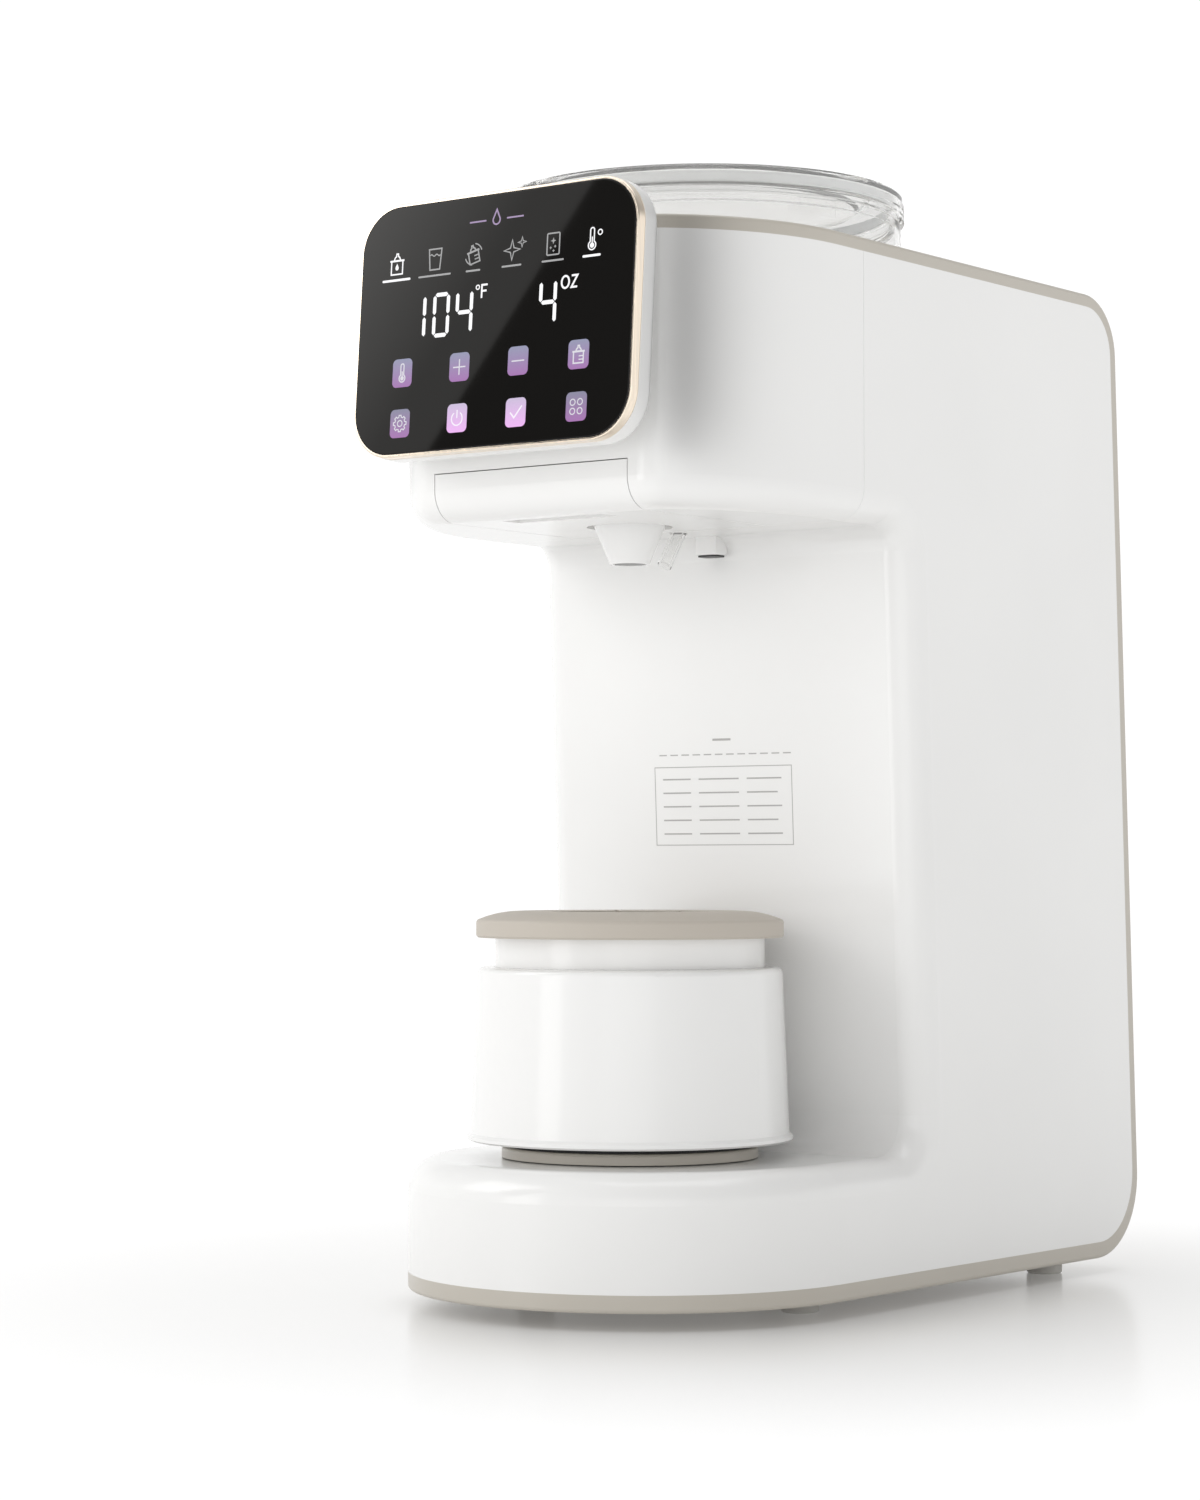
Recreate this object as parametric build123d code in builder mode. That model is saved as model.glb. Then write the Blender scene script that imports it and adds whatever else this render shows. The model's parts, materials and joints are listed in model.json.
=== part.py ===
"""Countertop formula dispenser: a C-shaped body with a powder head over a shaking bottle stand.

The frame is millimetres, +Z up, the front of the machine facing -Y.  The origin is on the
surface it stands on, under the middle of its outer box.
"""
from build123d import *
from math import atan2, cos, degrees, pi, radians, sin, tan
import os

# ---------------------------------------------------------------- driving dimensions
HALF_WIDTH = 92.6          # half the body's width, and the radius of its round front
AXIS_Y = -75.5             # bottle axis: turntable, holder and powder nozzle
PLAN_Y = AXIS_Y + 8.7      # centre of the round front
FACET_Y = AXIS_Y - 64.5    # flat front of the head
SEAM_Y = AXIS_Y + 27.0     # joint between the head's front shell and the body
LEAN = 2.64                # degrees that the column's front and back lean
LEAN_Z = 216.0             # height where the next two are measured
COLUMN_FRONT_Y = -12.4
COLUMN_BACK_Y = 153.6

PLATE_BOTTOM_Z = 6.7
WHITE_BOTTOM_Z = 13.6
BASE_TOP_Z = 58.2
HEAD_BOTTOM_Z = 306.0
WHITE_TOP_Z = 410.0
BAND = 5.5                 # thickness of the deck and the rear cover
DECK_Z = WHITE_TOP_Z + BAND
WALL = 3.0
EDGE_R = 12.0              # rounding along the C-shaped edge of the body
FACET_CORNER_R = 16.0
THROAT_TOP_R = 10.0        # column to head
THROAT_BASE_R = 15.0       # column to base
BACK_TOP_R = 20.0
BACK_BOTTOM_R = 28.0
BAND_EDGE_R = 1.6
DECK_BACK_Y = 124.0        # the deck ends here and the rear cover begins
PLATE_BACK_Y = 126.0       # the base plate ends here
ABOVE = WHITE_TOP_Z + 70   # clear of the machine's top
BELOW = -40.0              # and of its bottom
AHEAD = -200.0             # and of its front
SIDE = 120.0               # and of its sides

HOPPER_Y = AXIS_Y + 49.4   # hopper, stirrer and drive gear axis
HOPPER_R = 77.4
HOPPER_COLLAR_R = 80.6     # above the deck
HOPPER_NECK_R = 78.2       # inside the lid
HOPPER_WALL = 2.2
COLLAR_TOP_Z = 432.0
PAD_ANGLES = (-21.0, 99.0, 219.0)   # grip pads round the collar, degrees from +X
PAD_HALF = 6.4
HOPPER_FLOOR_Z = 352.0
HOPPER_RIM_Z = 436.0
LID_R = 82.0
LID_TOP_Z = 442.8
DECK_HOLE_R = 78.2
OUTLET_R = 9.0             # powder outlet, on the bottle axis
SPINDLE_R = 5.0
WHEEL_LOW_Z = 356.5
WHEEL_HIGH_Z = 369.0
WHEEL_R = 66.0
POCKETS = 8
POCKET_R = 10.0
STIRRER_Z = 372.6
RUNNING_FIT = 0.06         # radial clearance of a shaft in its bush

SCREEN_Y = AXIS_Y - 87.15
SCREEN_Z = 378.07
SCREEN_TILT = 4.2
SCREEN_HALF_W = 65.95
SCREEN_HALF_H = 48.46
SCREEN_R = 17.5
BEZEL = 1.1                # width of the metal rim around the glass
BEZEL_DEPTH = 4.0
SCREEN_DEPTH = 14.0
GLASS_THICK = 1.8
BOARD_THICK = 1.6

DRAWER_HALF_W = 46.4
DRAWER_TOP_Z = 324.2
DRAWER_WALL = 2.5
SEAM_GAP = 0.4
TRAY_BACK_Y = -50.0
NOZZLE_TIP_Z = 291.3
NOZZLE_TIP_R = 7.8
NOZZLE_TOP_R = 14.0
NOZZLE_HOLE_R = 17.0       # in the drawer's floor
FUNNEL_R = 24.2
FUNNEL_TOP_Z = 321.6

SPOUT_TIP = (0, AXIS_Y + 23.3, 292.4)
SPOUT_BEND = (0, AXIS_Y + 39.6, 315.6)
SPOUT_END = (0, -11.0, 315.6)
SPOUT_R = 2.9
HOSE_R = 3.5
HOSE_BORE_R = 2.0
SENSOR_X = 1.5
SENSOR_Y = AXIS_Y + 53.5
SENSOR_BOX = ((-3.5, SENSOR_Y - 4, 298.4), (6.5, SENSOR_Y + 4, 311.0))

GEAR_MODULE = 1.25
GEAR_TEETH = 56
PINION_TEETH = 14
GEAR_Z = 329.0
GEAR_H = 8.0
PINION_BEARING = 40.0      # degrees of the pinion's place round the gear, from +Y to +X
CHASSIS_Z = 324.0
CHASSIS_THICK = 3.0
DOG_TOP_Z = 348.4
DOG_HALF_W = 2.3
DOG_REACH = 10.0
MOTOR_SHAFT_R = 2.5
DOSING_MOTOR_R = 17.0
CHUTE_R = 10.5

TANK_HALF_W = 78.5
TANK_FRONT_Y = 62.5
TANK_BACK_Y = 120.5
TANK_BOTTOM_Z = 205.0
TANK_TOP_Z = 409.0
TANK_R = 12.0
TANK_WALL = 2.5
TANK_MID_Y = (TANK_FRONT_Y + TANK_BACK_Y) / 2
TANK_DEPTH = TANK_BACK_Y - TANK_FRONT_Y
SHELF_Z = 197.0
SHELF_THICK = 3.0

PUMP = (45.0, TANK_MID_Y)
PUMP_R = 17.0
PUMP_Z = 92.0
PUMP_TOP_Z = 140.0
PUMP_OUTLET_Z = 105.0
HEATER = (-40.0, TANK_MID_Y)
HEATER_R = 20.0
HEATER_Z = 82.0
HEATER_TOP_Z = 174.0
HEATER_INLET_Z = 114.0
BOARD_GAP = 8.0            # from the side wall to the control board's back
INLET_X = -52.0
INLET_Z = 70.0
INLET_FACE_Y = 164.6
INLET_BOX = ((INLET_X - 14.2, 130.0, INLET_Z - 10.2), (INLET_X + 14.2, 190.0, INLET_Z + 10.2))

TURNTABLE_R = 50.4
TURNTABLE_Z = 58.6
TURNTABLE_TOP_Z = 62.8
TURNTABLE_SHAFT_R = 6.0
PULLEY_R = 24.0
MOTOR_PULLEY_R = 8.0
SHAKER_MOTOR_Y = 20.0
PULLEY_Z = 24.0
PULLEY_H = 8.0
BELT_THICK = 1.4
BELT_GAP = 0.3

HOLDER_FOOT_R = 48.8
HOLDER_FLANGE_R = 64.0
HOLDER_WALL_R = 62.6       # just above the flange
HOLDER_TOP_R = 60.0
HOLDER_EDGE_R = 2.4
HOLDER_BOTTOM_Z = 65.0
HOLDER_TOP_Z = 132.7
CUP_R = 53.0
CUP_WALL = 2.5
CUP_BOTTOM_Z = 70.0
RING_R = 60.5
RING_Z = 144.3
RING_TOP_Z = 154.7
BOTTLE_HOLE_R = 33.0

FOOT_R = 7.5
FEET = [(64.5, AXIS_Y + 23.0), (70.6, AXIS_Y + 200.0)]
FRONT_POST = (66.0, AXIS_Y)
REAR_POST = (83.0, 108.0)
BOTH_POSTS = [FRONT_POST, (-FRONT_POST[0], FRONT_POST[1]), REAR_POST, (-REAR_POST[0], REAR_POST[1])]
FRONT_POST_R = 5.0
REAR_POST_R = 7.0
SCREW_R = 1.6
SCREW_HEAD_R = 3.4
SCREW_HEAD_H = 2.2
SCREW_POCKET = 2.5         # depth of the pocket under each screw


def export(shape, name):
    """Label a finished piece and write it as one STEP file."""
    shape.label = name
    export_step(shape, f"parts/{name}.step")


def lean_y(y_at_lean_z, z):
    """Y of a leaning line at height z."""
    return y_at_lean_z - (z - LEAN_Z) * tan(radians(LEAN))


# ---------------------------------------------------------------- body outline
def plan_sketch(inset):
    """Round front and straight sides, seen from above."""
    half = HALF_WIDTH - inset
    with BuildSketch() as plan:
        with Locations((0, PLAN_Y)):
            Circle(half)
        with Locations((0, PLAN_Y + 120)):
            Rectangle(2 * half, 240)
    return plan.sketch


def side_slab(corners, radii):
    """Solid with a closed YZ outline, each corner with its own rounding."""
    with BuildPart() as slab:
        with BuildSketch(Plane.YZ.offset(-HALF_WIDTH - 10)) as side:
            with BuildLine():
                Polyline(*corners, close=True)
            make_face()
            for (y, z), radius in zip(corners, radii):
                if radius:
                    fillet(side.vertices().sort_by_distance((y, z, 0))[0], radius)
        extrude(amount=2 * HALF_WIDTH + 20)
    return slab.part


def head_front_block(inset):
    """Everything in front of the head's flat facet."""
    with BuildPart() as block:
        with BuildSketch(Plane.XY.offset(HEAD_BOTTOM_Z - 26)):
            with Locations((0, FACET_Y + inset - 60)):
                Rectangle(2 * SIDE, 120)
        extrude(amount=ABOVE - HEAD_BOTTOM_Z)
    return block.part


def c_form(inset, top, bottom, back):
    """The C-shaped body, its walls moved in by inset, up to the given top, bottom and back."""
    front = PLAN_Y - 2 * HALF_WIDTH
    floor = BASE_TOP_Z - inset
    roof = HEAD_BOTTOM_Z + inset
    corners = [
        (front, bottom),
        (lean_y(back, bottom), bottom),
        (lean_y(back, top), top),
        (front, top),
        (front, roof),
        (lean_y(COLUMN_FRONT_Y + inset, roof), roof),
        (lean_y(COLUMN_FRONT_Y + inset, floor), floor),
        (front, floor),
    ]
    radii = [0, BACK_BOTTOM_R, BACK_TOP_R, 0, 0, THROAT_TOP_R + inset, THROAT_BASE_R + inset, 0]
    slab = side_slab(corners, radii)
    block = head_front_block(inset)
    with BuildPart() as form:
        with BuildSketch(Plane.XY.offset(BELOW)):
            add(plan_sketch(inset))
        extrude(amount=ABOVE - BELOW)
        add(slab, mode=Mode.INTERSECT)
        add(block, mode=Mode.SUBTRACT)
        corners = form.edges().filter_by(Axis.Z)
        corners = corners.filter_by(lambda e: e.center().Z > HEAD_BOTTOM_Z and e.center().Y < FACET_Y + 12)
        fillet(corners, FACET_CORNER_R - inset)
        mouth = form.edges().filter_by(lambda e: on_mouth(e, floor, roof, inset))
        fillet(mouth, EDGE_R - inset)
    return form.part


def on_mouth(edge, floor, roof, inset):
    """True for the edges where the side wall meets the C-shaped mouth."""
    c = edge.center()
    if edge.is_closed or abs(edge.position_at(0).X - edge.position_at(1).X) > 1 and abs(c.X) < 0.5:
        flat = abs(c.Z - floor) < 0.01 or abs(c.Z - roof) < 0.01
        return flat and c.Y < FACET_Y + 30
    inside = floor - 0.01 < c.Z < roof + 0.01
    return inside and abs(c.X) > 20 and c.Y < lean_y(COLUMN_FRONT_Y + inset, floor) + 0.5


def outer_form():
    """The whole machine's outline with no mouth, for the deck, the rear cover and the base plate."""
    front = PLAN_Y - 2 * HALF_WIDTH
    back = COLUMN_BACK_Y + BAND
    corners = [
        (front, PLATE_BOTTOM_Z),
        (lean_y(back, PLATE_BOTTOM_Z), PLATE_BOTTOM_Z),
        (lean_y(back, DECK_Z), DECK_Z),
        (front, DECK_Z),
    ]
    slab = side_slab(corners, [0, BACK_BOTTOM_R + BAND, BACK_TOP_R + BAND, 0])
    block = head_front_block(0)
    with BuildPart() as form:
        with BuildSketch(Plane.XY):
            add(plan_sketch(0))
        extrude(amount=ABOVE)
        add(slab, mode=Mode.INTERSECT)
        add(block, mode=Mode.SUBTRACT)
        corners = form.edges().filter_by(Axis.Z)
        corners = corners.filter_by(lambda e: e.center().Z > HEAD_BOTTOM_Z and e.center().Y < FACET_Y + 12)
        fillet(corners, FACET_CORNER_R)
        rim = form.edges().filter_by(on_rim)
        fillet(rim, BAND_EDGE_R)
    return form.part


def on_rim(edge):
    """True for the edges where the side walls meet the top, the back or the bottom."""
    c = edge.center()
    z = c.Z
    if abs(z - DECK_Z) < 0.01 or abs(z - PLATE_BOTTOM_Z) < 0.01:
        return c.Y < 140 and (abs(c.X) > 5 or c.Y < 0)
    return abs(abs(c.X) - HALF_WIDTH) < 0.01 and c.Y > 120


def inner_slab(grow):
    """The white body's back, top and bottom outline, moved out by grow, as a wide solid."""
    front = PLAN_Y - 2 * HALF_WIDTH
    back = COLUMN_BACK_Y + grow
    low = WHITE_BOTTOM_Z - grow
    high = WHITE_TOP_Z + grow
    corners = [(front, low), (lean_y(back, low), low), (lean_y(back, high), high), (front, high)]
    return side_slab(corners, [0, BACK_BOTTOM_R + grow, BACK_TOP_R + grow, 0])


def block(low, high):
    """Box between two corners."""
    size = [b - a for a, b in zip(low, high)]
    middle = [(a + b) / 2 for a, b in zip(low, high)]
    with BuildPart() as box:
        with Locations(tuple(middle)):
            Box(*size)
    return box.part


def disc(x, y, z_low, z_high, outer, inner=0.0):
    """Upright disc or ring."""
    with BuildPart() as ring:
        with BuildSketch(Plane.XY.offset(z_low)):
            with Locations((x, y)):
                Circle(outer)
                if inner:
                    Circle(inner, mode=Mode.SUBTRACT)
        extrude(amount=z_high - z_low)
    return ring.part


def turned(y, points):
    """Solid of revolution about the upright axis at (0, y), from an outline of (radius, z)."""
    with BuildPart() as body:
        with BuildSketch(Plane.XZ.offset(-y)):
            with BuildLine():
                Polyline(*points, close=True)
            make_face()
        revolve(axis=Axis((0, y, 0), (0, 0, 1)))
    return body.part


def tube(points, radius, bend, bore=0.0):
    """Round tube along straight runs joined by arcs."""
    if len(points) > 2:
        path = FilletPolyline(*points, radius=bend)
    else:
        path = Line(*points)
    start = Plane(origin=path @ 0, z_dir=path % 0)
    with BuildPart() as pipe:
        with BuildSketch(start):
            Circle(radius)
            if bore:
                Circle(bore, mode=Mode.SUBTRACT)
        sweep(path=path)
    return pipe.part


# ---------------------------------------------------------------- casing
def make_body_shell(outer, cavity):
    head_front = block((-SIDE, AHEAD, HEAD_BOTTOM_Z - 16), (SIDE, SEAM_Y, ABOVE))
    spout_hole = tube([SPOUT_TIP, SPOUT_BEND], SPOUT_R + 0.4, 0)
    front_posts = BOTH_POSTS[:2]
    rear_posts = BOTH_POSTS[2:]
    with BuildPart() as body_shell:
        add(outer)
        add(cavity, mode=Mode.SUBTRACT)
        add(head_front, mode=Mode.SUBTRACT)
        with BuildSketch(Plane.XY.offset(WHITE_BOTTOM_Z)):
            with Locations(*front_posts):
                Circle(FRONT_POST_R)
        extrude(amount=BASE_TOP_Z - WALL / 2 - WHITE_BOTTOM_Z)
        with BuildSketch(Plane.XY.offset(WHITE_BOTTOM_Z + 5)):
            with Locations(*rear_posts):
                Circle(REAR_POST_R)
        extrude(amount=46)
        with BuildSketch(Plane.XY.offset(WHITE_BOTTOM_Z - 1)):
            with Locations(*BOTH_POSTS):
                Circle(SCREW_R)
        extrude(amount=16, mode=Mode.SUBTRACT)
        with BuildSketch(Plane.XY.offset(BASE_TOP_Z - 10)):
            with Locations((0, AXIS_Y)):
                Circle(TURNTABLE_SHAFT_R + 1.5)
        extrude(amount=20, mode=Mode.SUBTRACT)
        add(block(*SENSOR_BOX), mode=Mode.SUBTRACT)
        add(spout_hole, mode=Mode.SUBTRACT)
    return body_shell.part


def make_head_front_shell(outer, cavity):
    head_front = block((-SIDE, AHEAD, HEAD_BOTTOM_Z - 16), (SIDE, SEAM_Y - 0.15, ABOVE))
    half = DRAWER_HALF_W + SEAM_GAP
    low = HEAD_BOTTOM_Z - 16
    mouth = block((-half, AHEAD, low), (half, TRAY_BACK_Y + SEAM_GAP, DRAWER_TOP_Z + SEAM_GAP))
    with BuildPart() as head_front_shell:
        add(outer)
        add(cavity, mode=Mode.SUBTRACT)
        add(head_front, mode=Mode.INTERSECT)
        add(mouth, mode=Mode.SUBTRACT)
    return head_front_shell.part


def make_top_deck(form):
    band = block((-SIDE, AHEAD, WHITE_TOP_Z), (SIDE, DECK_BACK_Y, ABOVE))
    with BuildPart() as top_deck:
        add(form)
        add(band, mode=Mode.INTERSECT)
        with BuildSketch(Plane.XY.offset(WHITE_TOP_Z - 1)):
            with Locations((0, HOPPER_Y)):
                Circle(DECK_HOLE_R)
            with Locations((0, TANK_MID_Y)):
                RectangleRounded(2 * TANK_HALF_W + 3.8, TANK_DEPTH + 3.4, TANK_R + 1.5)
        extrude(amount=30, mode=Mode.SUBTRACT)
    return top_deck.part


def make_rear_cover(form):
    back = block((-SIDE, DECK_BACK_Y, PLATE_BOTTOM_Z - 1), (SIDE, 2 * SIDE, ABOVE))
    plate_zone = block((-SIDE, DECK_BACK_Y - 1, 0), (SIDE, PLATE_BACK_Y, 100))
    with BuildPart() as rear_cover:
        add(form)
        add(back, mode=Mode.INTERSECT)
        add(plate_zone, mode=Mode.SUBTRACT)
        add(inner_slab(0), mode=Mode.SUBTRACT)
        with BuildSketch(Plane.YZ.offset(-HALF_WIDTH + 6)):
            add(section_of(inner_slab(2.5)))
        extrude(amount=2 * HALF_WIDTH - 12, mode=Mode.SUBTRACT)
        add(block(*INLET_BOX), mode=Mode.SUBTRACT)
        for slot in range(7):
            z = 128 + 7 * slot
            y = lean_y(COLUMN_BACK_Y, z)
            add(block((-30, y - 4, z), (30, y + 12, z + 2.6)), mode=Mode.SUBTRACT)
    return rear_cover.part


def section_of(solid):
    """The YZ outline of a slab, as one face at the plane's own origin."""
    face = solid.faces().filter_by(Axis.X).sort_by(Axis.X)[0]
    return Plane.YZ.offset(-HALF_WIDTH - 10).to_local_coords(face)


def make_base_plate(form):
    band = block((-SIDE, AHEAD, 0), (SIDE, PLATE_BACK_Y, WHITE_BOTTOM_Z))
    with BuildPart() as base_plate:
        add(form)
        add(band, mode=Mode.INTERSECT)
        with BuildSketch(Plane.XY.offset(PLATE_BOTTOM_Z + WALL)):
            add(plan_sketch(8))
        extrude(amount=30, mode=Mode.SUBTRACT)
        with BuildSketch(Plane.XY.offset(PLATE_BOTTOM_Z)):
            with Locations(*BOTH_POSTS):
                Circle(6.5)
        extrude(amount=WHITE_BOTTOM_Z - PLATE_BOTTOM_Z)
        with BuildSketch(Plane.XY.offset(PLATE_BOTTOM_Z - 1)):
            with Locations(*BOTH_POSTS):
                Circle(SCREW_R + 0.2)
        extrude(amount=20, mode=Mode.SUBTRACT)
        with BuildSketch(Plane.XY.offset(PLATE_BOTTOM_Z - 1)):
            with Locations(*BOTH_POSTS):
                Circle(SCREW_HEAD_R + 0.8)
        extrude(amount=SCREW_POCKET + 1, mode=Mode.SUBTRACT)
    return base_plate.part


def make_rubber_feet():
    with BuildPart() as rubber_feet:
        for x, y in FEET:
            for side in (-1, 1):
                with BuildSketch(Plane.XY):
                    with Locations((side * x, y)):
                        Circle(FOOT_R)
                extrude(amount=PLATE_BOTTOM_Z)
        chamfer(rubber_feet.faces().filter_by(Axis.Z).group_by(Axis.Z)[0].edges(), 0.8)
    return rubber_feet.part


def make_case_screws():
    head_z = PLATE_BOTTOM_Z + SCREW_POCKET
    with BuildPart() as case_screws:
        with BuildSketch(Plane.XY.offset(head_z - SCREW_HEAD_H)):
            with Locations(*BOTH_POSTS):
                Circle(SCREW_HEAD_R)
        extrude(amount=SCREW_HEAD_H)
        with BuildSketch(Plane.XY.offset(head_z)):
            with Locations(*BOTH_POSTS):
                Circle(SCREW_R)
        extrude(amount=15)
        with BuildSketch(Plane.XY.offset(head_z - SCREW_HEAD_H)):
            with Locations(*BOTH_POSTS):
                RegularPolygon(1.5, 6)
        extrude(amount=1.2, mode=Mode.SUBTRACT)
    return case_screws.part


# ---------------------------------------------------------------- display
def screen_plane(depth):
    """Plane of the screen, facing into the machine, at a depth behind the glass."""
    origin = Vector(0, SCREEN_Y, SCREEN_Z)
    into = Vector(0, cos(radians(SCREEN_TILT)), -sin(radians(SCREEN_TILT)))
    return Plane(origin=origin + into * depth, x_dir=(1, 0, 0), z_dir=tuple(into))


def screen_layer(start, depth, grow, hole=None, back_round=0.0, front_round=0.0):
    """Rounded slab of the display, with an optional opening of its own growth."""
    with BuildPart() as layer:
        with BuildSketch(screen_plane(start)):
            RectangleRounded(2 * (SCREEN_HALF_W + grow), 2 * (SCREEN_HALF_H + grow), SCREEN_R + grow)
            if hole is not None:
                width = 2 * (SCREEN_HALF_W + hole)
                height = 2 * (SCREEN_HALF_H + hole)
                RectangleRounded(width, height, SCREEN_R + hole, mode=Mode.SUBTRACT)
        extrude(amount=depth)
        for end, radius in ((-1, back_round), (0, front_round)):
            if radius:
                flat = layer.faces().filter_by(screen_plane(0)).sort_by(Axis.Y)[end]
                fillet(flat.outer_wire().edges(), radius)
    return layer.part


def make_display():
    glass = screen_layer(0, GLASS_THICK, 0, front_round=0.6)
    bezel = screen_layer(0.2, BEZEL_DEPTH, BEZEL, hole=0.0, front_round=0.6)
    board = screen_layer(3.2, BOARD_THICK, -7.0)
    shell = screen_layer(0.2 + BEZEL_DEPTH, SCREEN_DEPTH - BEZEL_DEPTH, BEZEL + 0.2, back_round=4.5)
    pocket = screen_layer(0.2 + BEZEL_DEPTH - 0.1, SCREEN_DEPTH - BEZEL_DEPTH - 2.9, -2.0)
    lip = screen_layer(GLASS_THICK, 2.4, 0.0, hole=-3.0)
    neck = block((-46, SCREEN_Y + 8, 336), (46, FACET_Y, 404))
    tail = block((-42, SCREEN_Y + 4, 340), (42, FACET_Y + 1, 400))
    behind = screen_layer(SCREEN_DEPTH, 40, 20)
    with BuildPart() as stalk:
        add(neck)
        fillet(stalk.edges().filter_by(Axis.Y), 10)
        add(behind, mode=Mode.INTERSECT)
        add(tail, mode=Mode.SUBTRACT)
    with BuildPart() as display_housing:
        add(shell)
        add(pocket, mode=Mode.SUBTRACT)
        add(stalk.part)
    with BuildPart() as display_bezel:
        add(bezel)
        add(lip)
    return display_housing.part, display_bezel.part, glass, board


# ---------------------------------------------------------------- funnel drawer
def make_funnel_drawer(outer):
    """Drawer front that follows the head's own outline, with a tray behind it."""
    half = DRAWER_HALF_W
    floor_top = HEAD_BOTTOM_Z + DRAWER_WALL
    zone = block((-half, AHEAD, HEAD_BOTTOM_Z - 16), (half, TRAY_BACK_Y, DRAWER_TOP_Z))
    behind = block((-half - 1, FACET_Y + 14, floor_top), (half + 1, 0, ABOVE))
    grip = block((-24, FACET_Y + 14, HEAD_BOTTOM_Z - 1), (24, FACET_Y + 24, HEAD_BOTTOM_Z + 1.2))
    between = block((-half + DRAWER_WALL, AHEAD, floor_top), (half - DRAWER_WALL, 0, ABOVE))
    with BuildPart() as hollow:
        add(c_form(DRAWER_WALL, WHITE_TOP_Z + 40, WHITE_BOTTOM_Z - 40, COLUMN_BACK_Y))
        add(between, mode=Mode.INTERSECT)
    with BuildPart() as tray_walls:
        for side in (-1, 1):
            add(block(*sorted_box(side, 38, 40, FACET_Y + 1, TRAY_BACK_Y, HEAD_BOTTOM_Z + 1, 316)))
            add(block(*sorted_box(side, 39, 46, FACET_Y + 14, TRAY_BACK_Y, 313, 315)))
        add(outer, mode=Mode.INTERSECT)
    with BuildPart() as funnel_drawer:
        add(outer)
        add(zone, mode=Mode.INTERSECT)
        add(hollow.part, mode=Mode.SUBTRACT)
        add(behind, mode=Mode.SUBTRACT)
        add(tray_walls.part)
        add(grip, mode=Mode.SUBTRACT)
        with BuildSketch(Plane.XY.offset(HEAD_BOTTOM_Z - 2)):
            with Locations((0, AXIS_Y)):
                Circle(NOZZLE_HOLE_R)
        extrude(amount=6, mode=Mode.SUBTRACT)
        with BuildSketch(Plane.XY.offset(floor_top)):
            with Locations((0, AXIS_Y)):
                Circle(FUNNEL_R + 1.4)
                Circle(FUNNEL_R + 0.2, mode=Mode.SUBTRACT)
        extrude(amount=4)
    return funnel_drawer.part


def sorted_box(side, x_near, x_far, y_low, y_high, z_low, z_high):
    """Corners of a box on the left (-1) or right (1) side."""
    xs = sorted((side * x_near, side * x_far))
    return (xs[0], y_low, z_low), (xs[1], y_high, z_high)


def make_powder_nozzle():
    """Funnel that sits on the drawer's floor, with a tapered nozzle through its round hole."""
    seat = HEAD_BOTTOM_Z + DRAWER_WALL
    outline = [
        (NOZZLE_TIP_R, NOZZLE_TIP_Z), (NOZZLE_TOP_R, HEAD_BOTTOM_Z), (NOZZLE_TOP_R + 0.6, seat),
        (FUNNEL_R, seat), (FUNNEL_R, seat + 1.8), (FUNNEL_R - 1.6, FUNNEL_TOP_Z),
        (FUNNEL_R - 3.3, FUNNEL_TOP_Z), (FUNNEL_R - 2.4, seat + 3.2), (NOZZLE_TOP_R - 2.4, seat),
        (NOZZLE_TOP_R - 2.8, HEAD_BOTTOM_Z), (NOZZLE_TIP_R - 1.4, NOZZLE_TIP_Z),
    ]
    return turned(AXIS_Y, outline)


def make_drawer_rails():
    with BuildPart() as drawer_rails:
        for side in (-1, 1):
            low = HEAD_BOTTOM_Z + WALL
            add(block(*sorted_box(side, 42.5, 54, FACET_Y + 16, TRAY_BACK_Y - 2, low, 312.7)))
    return drawer_rails.part


# ---------------------------------------------------------------- water outlet and sensor
def make_water_spout():
    return tube([SPOUT_TIP, SPOUT_BEND, SPOUT_END], SPOUT_R, 8.0, SPOUT_R - 1.2)


def make_sensor_pod():
    with BuildPart() as sensor_pod:
        add(block(*SENSOR_BOX))
        fillet(sensor_pod.faces().sort_by(Axis.Z)[0].edges(), 0.8)
        with BuildSketch(Plane.XY.offset(SENSOR_BOX[0][2])):
            with Locations((SENSOR_X, SENSOR_Y)):
                RectangleRounded(7.0, 5.0, 1.0)
        extrude(amount=1.2, mode=Mode.SUBTRACT)
    return sensor_pod.part


def make_sensor_window():
    """Dark window under the pod, with a plug that fills the pod's recess."""
    low = SENSOR_BOX[0][2]
    with BuildPart() as sensor_window:
        with BuildSketch(Plane.XY.offset(low - 0.6)):
            with Locations((SENSOR_X, SENSOR_Y)):
                RectangleRounded(9.6, 7.6, 2.0)
        extrude(amount=0.6)
        with BuildSketch(Plane.XY.offset(low)):
            with Locations((SENSOR_X, SENSOR_Y)):
                RectangleRounded(6.8, 4.8, 0.9)
        extrude(amount=1.0)
    return sensor_window.part


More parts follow.
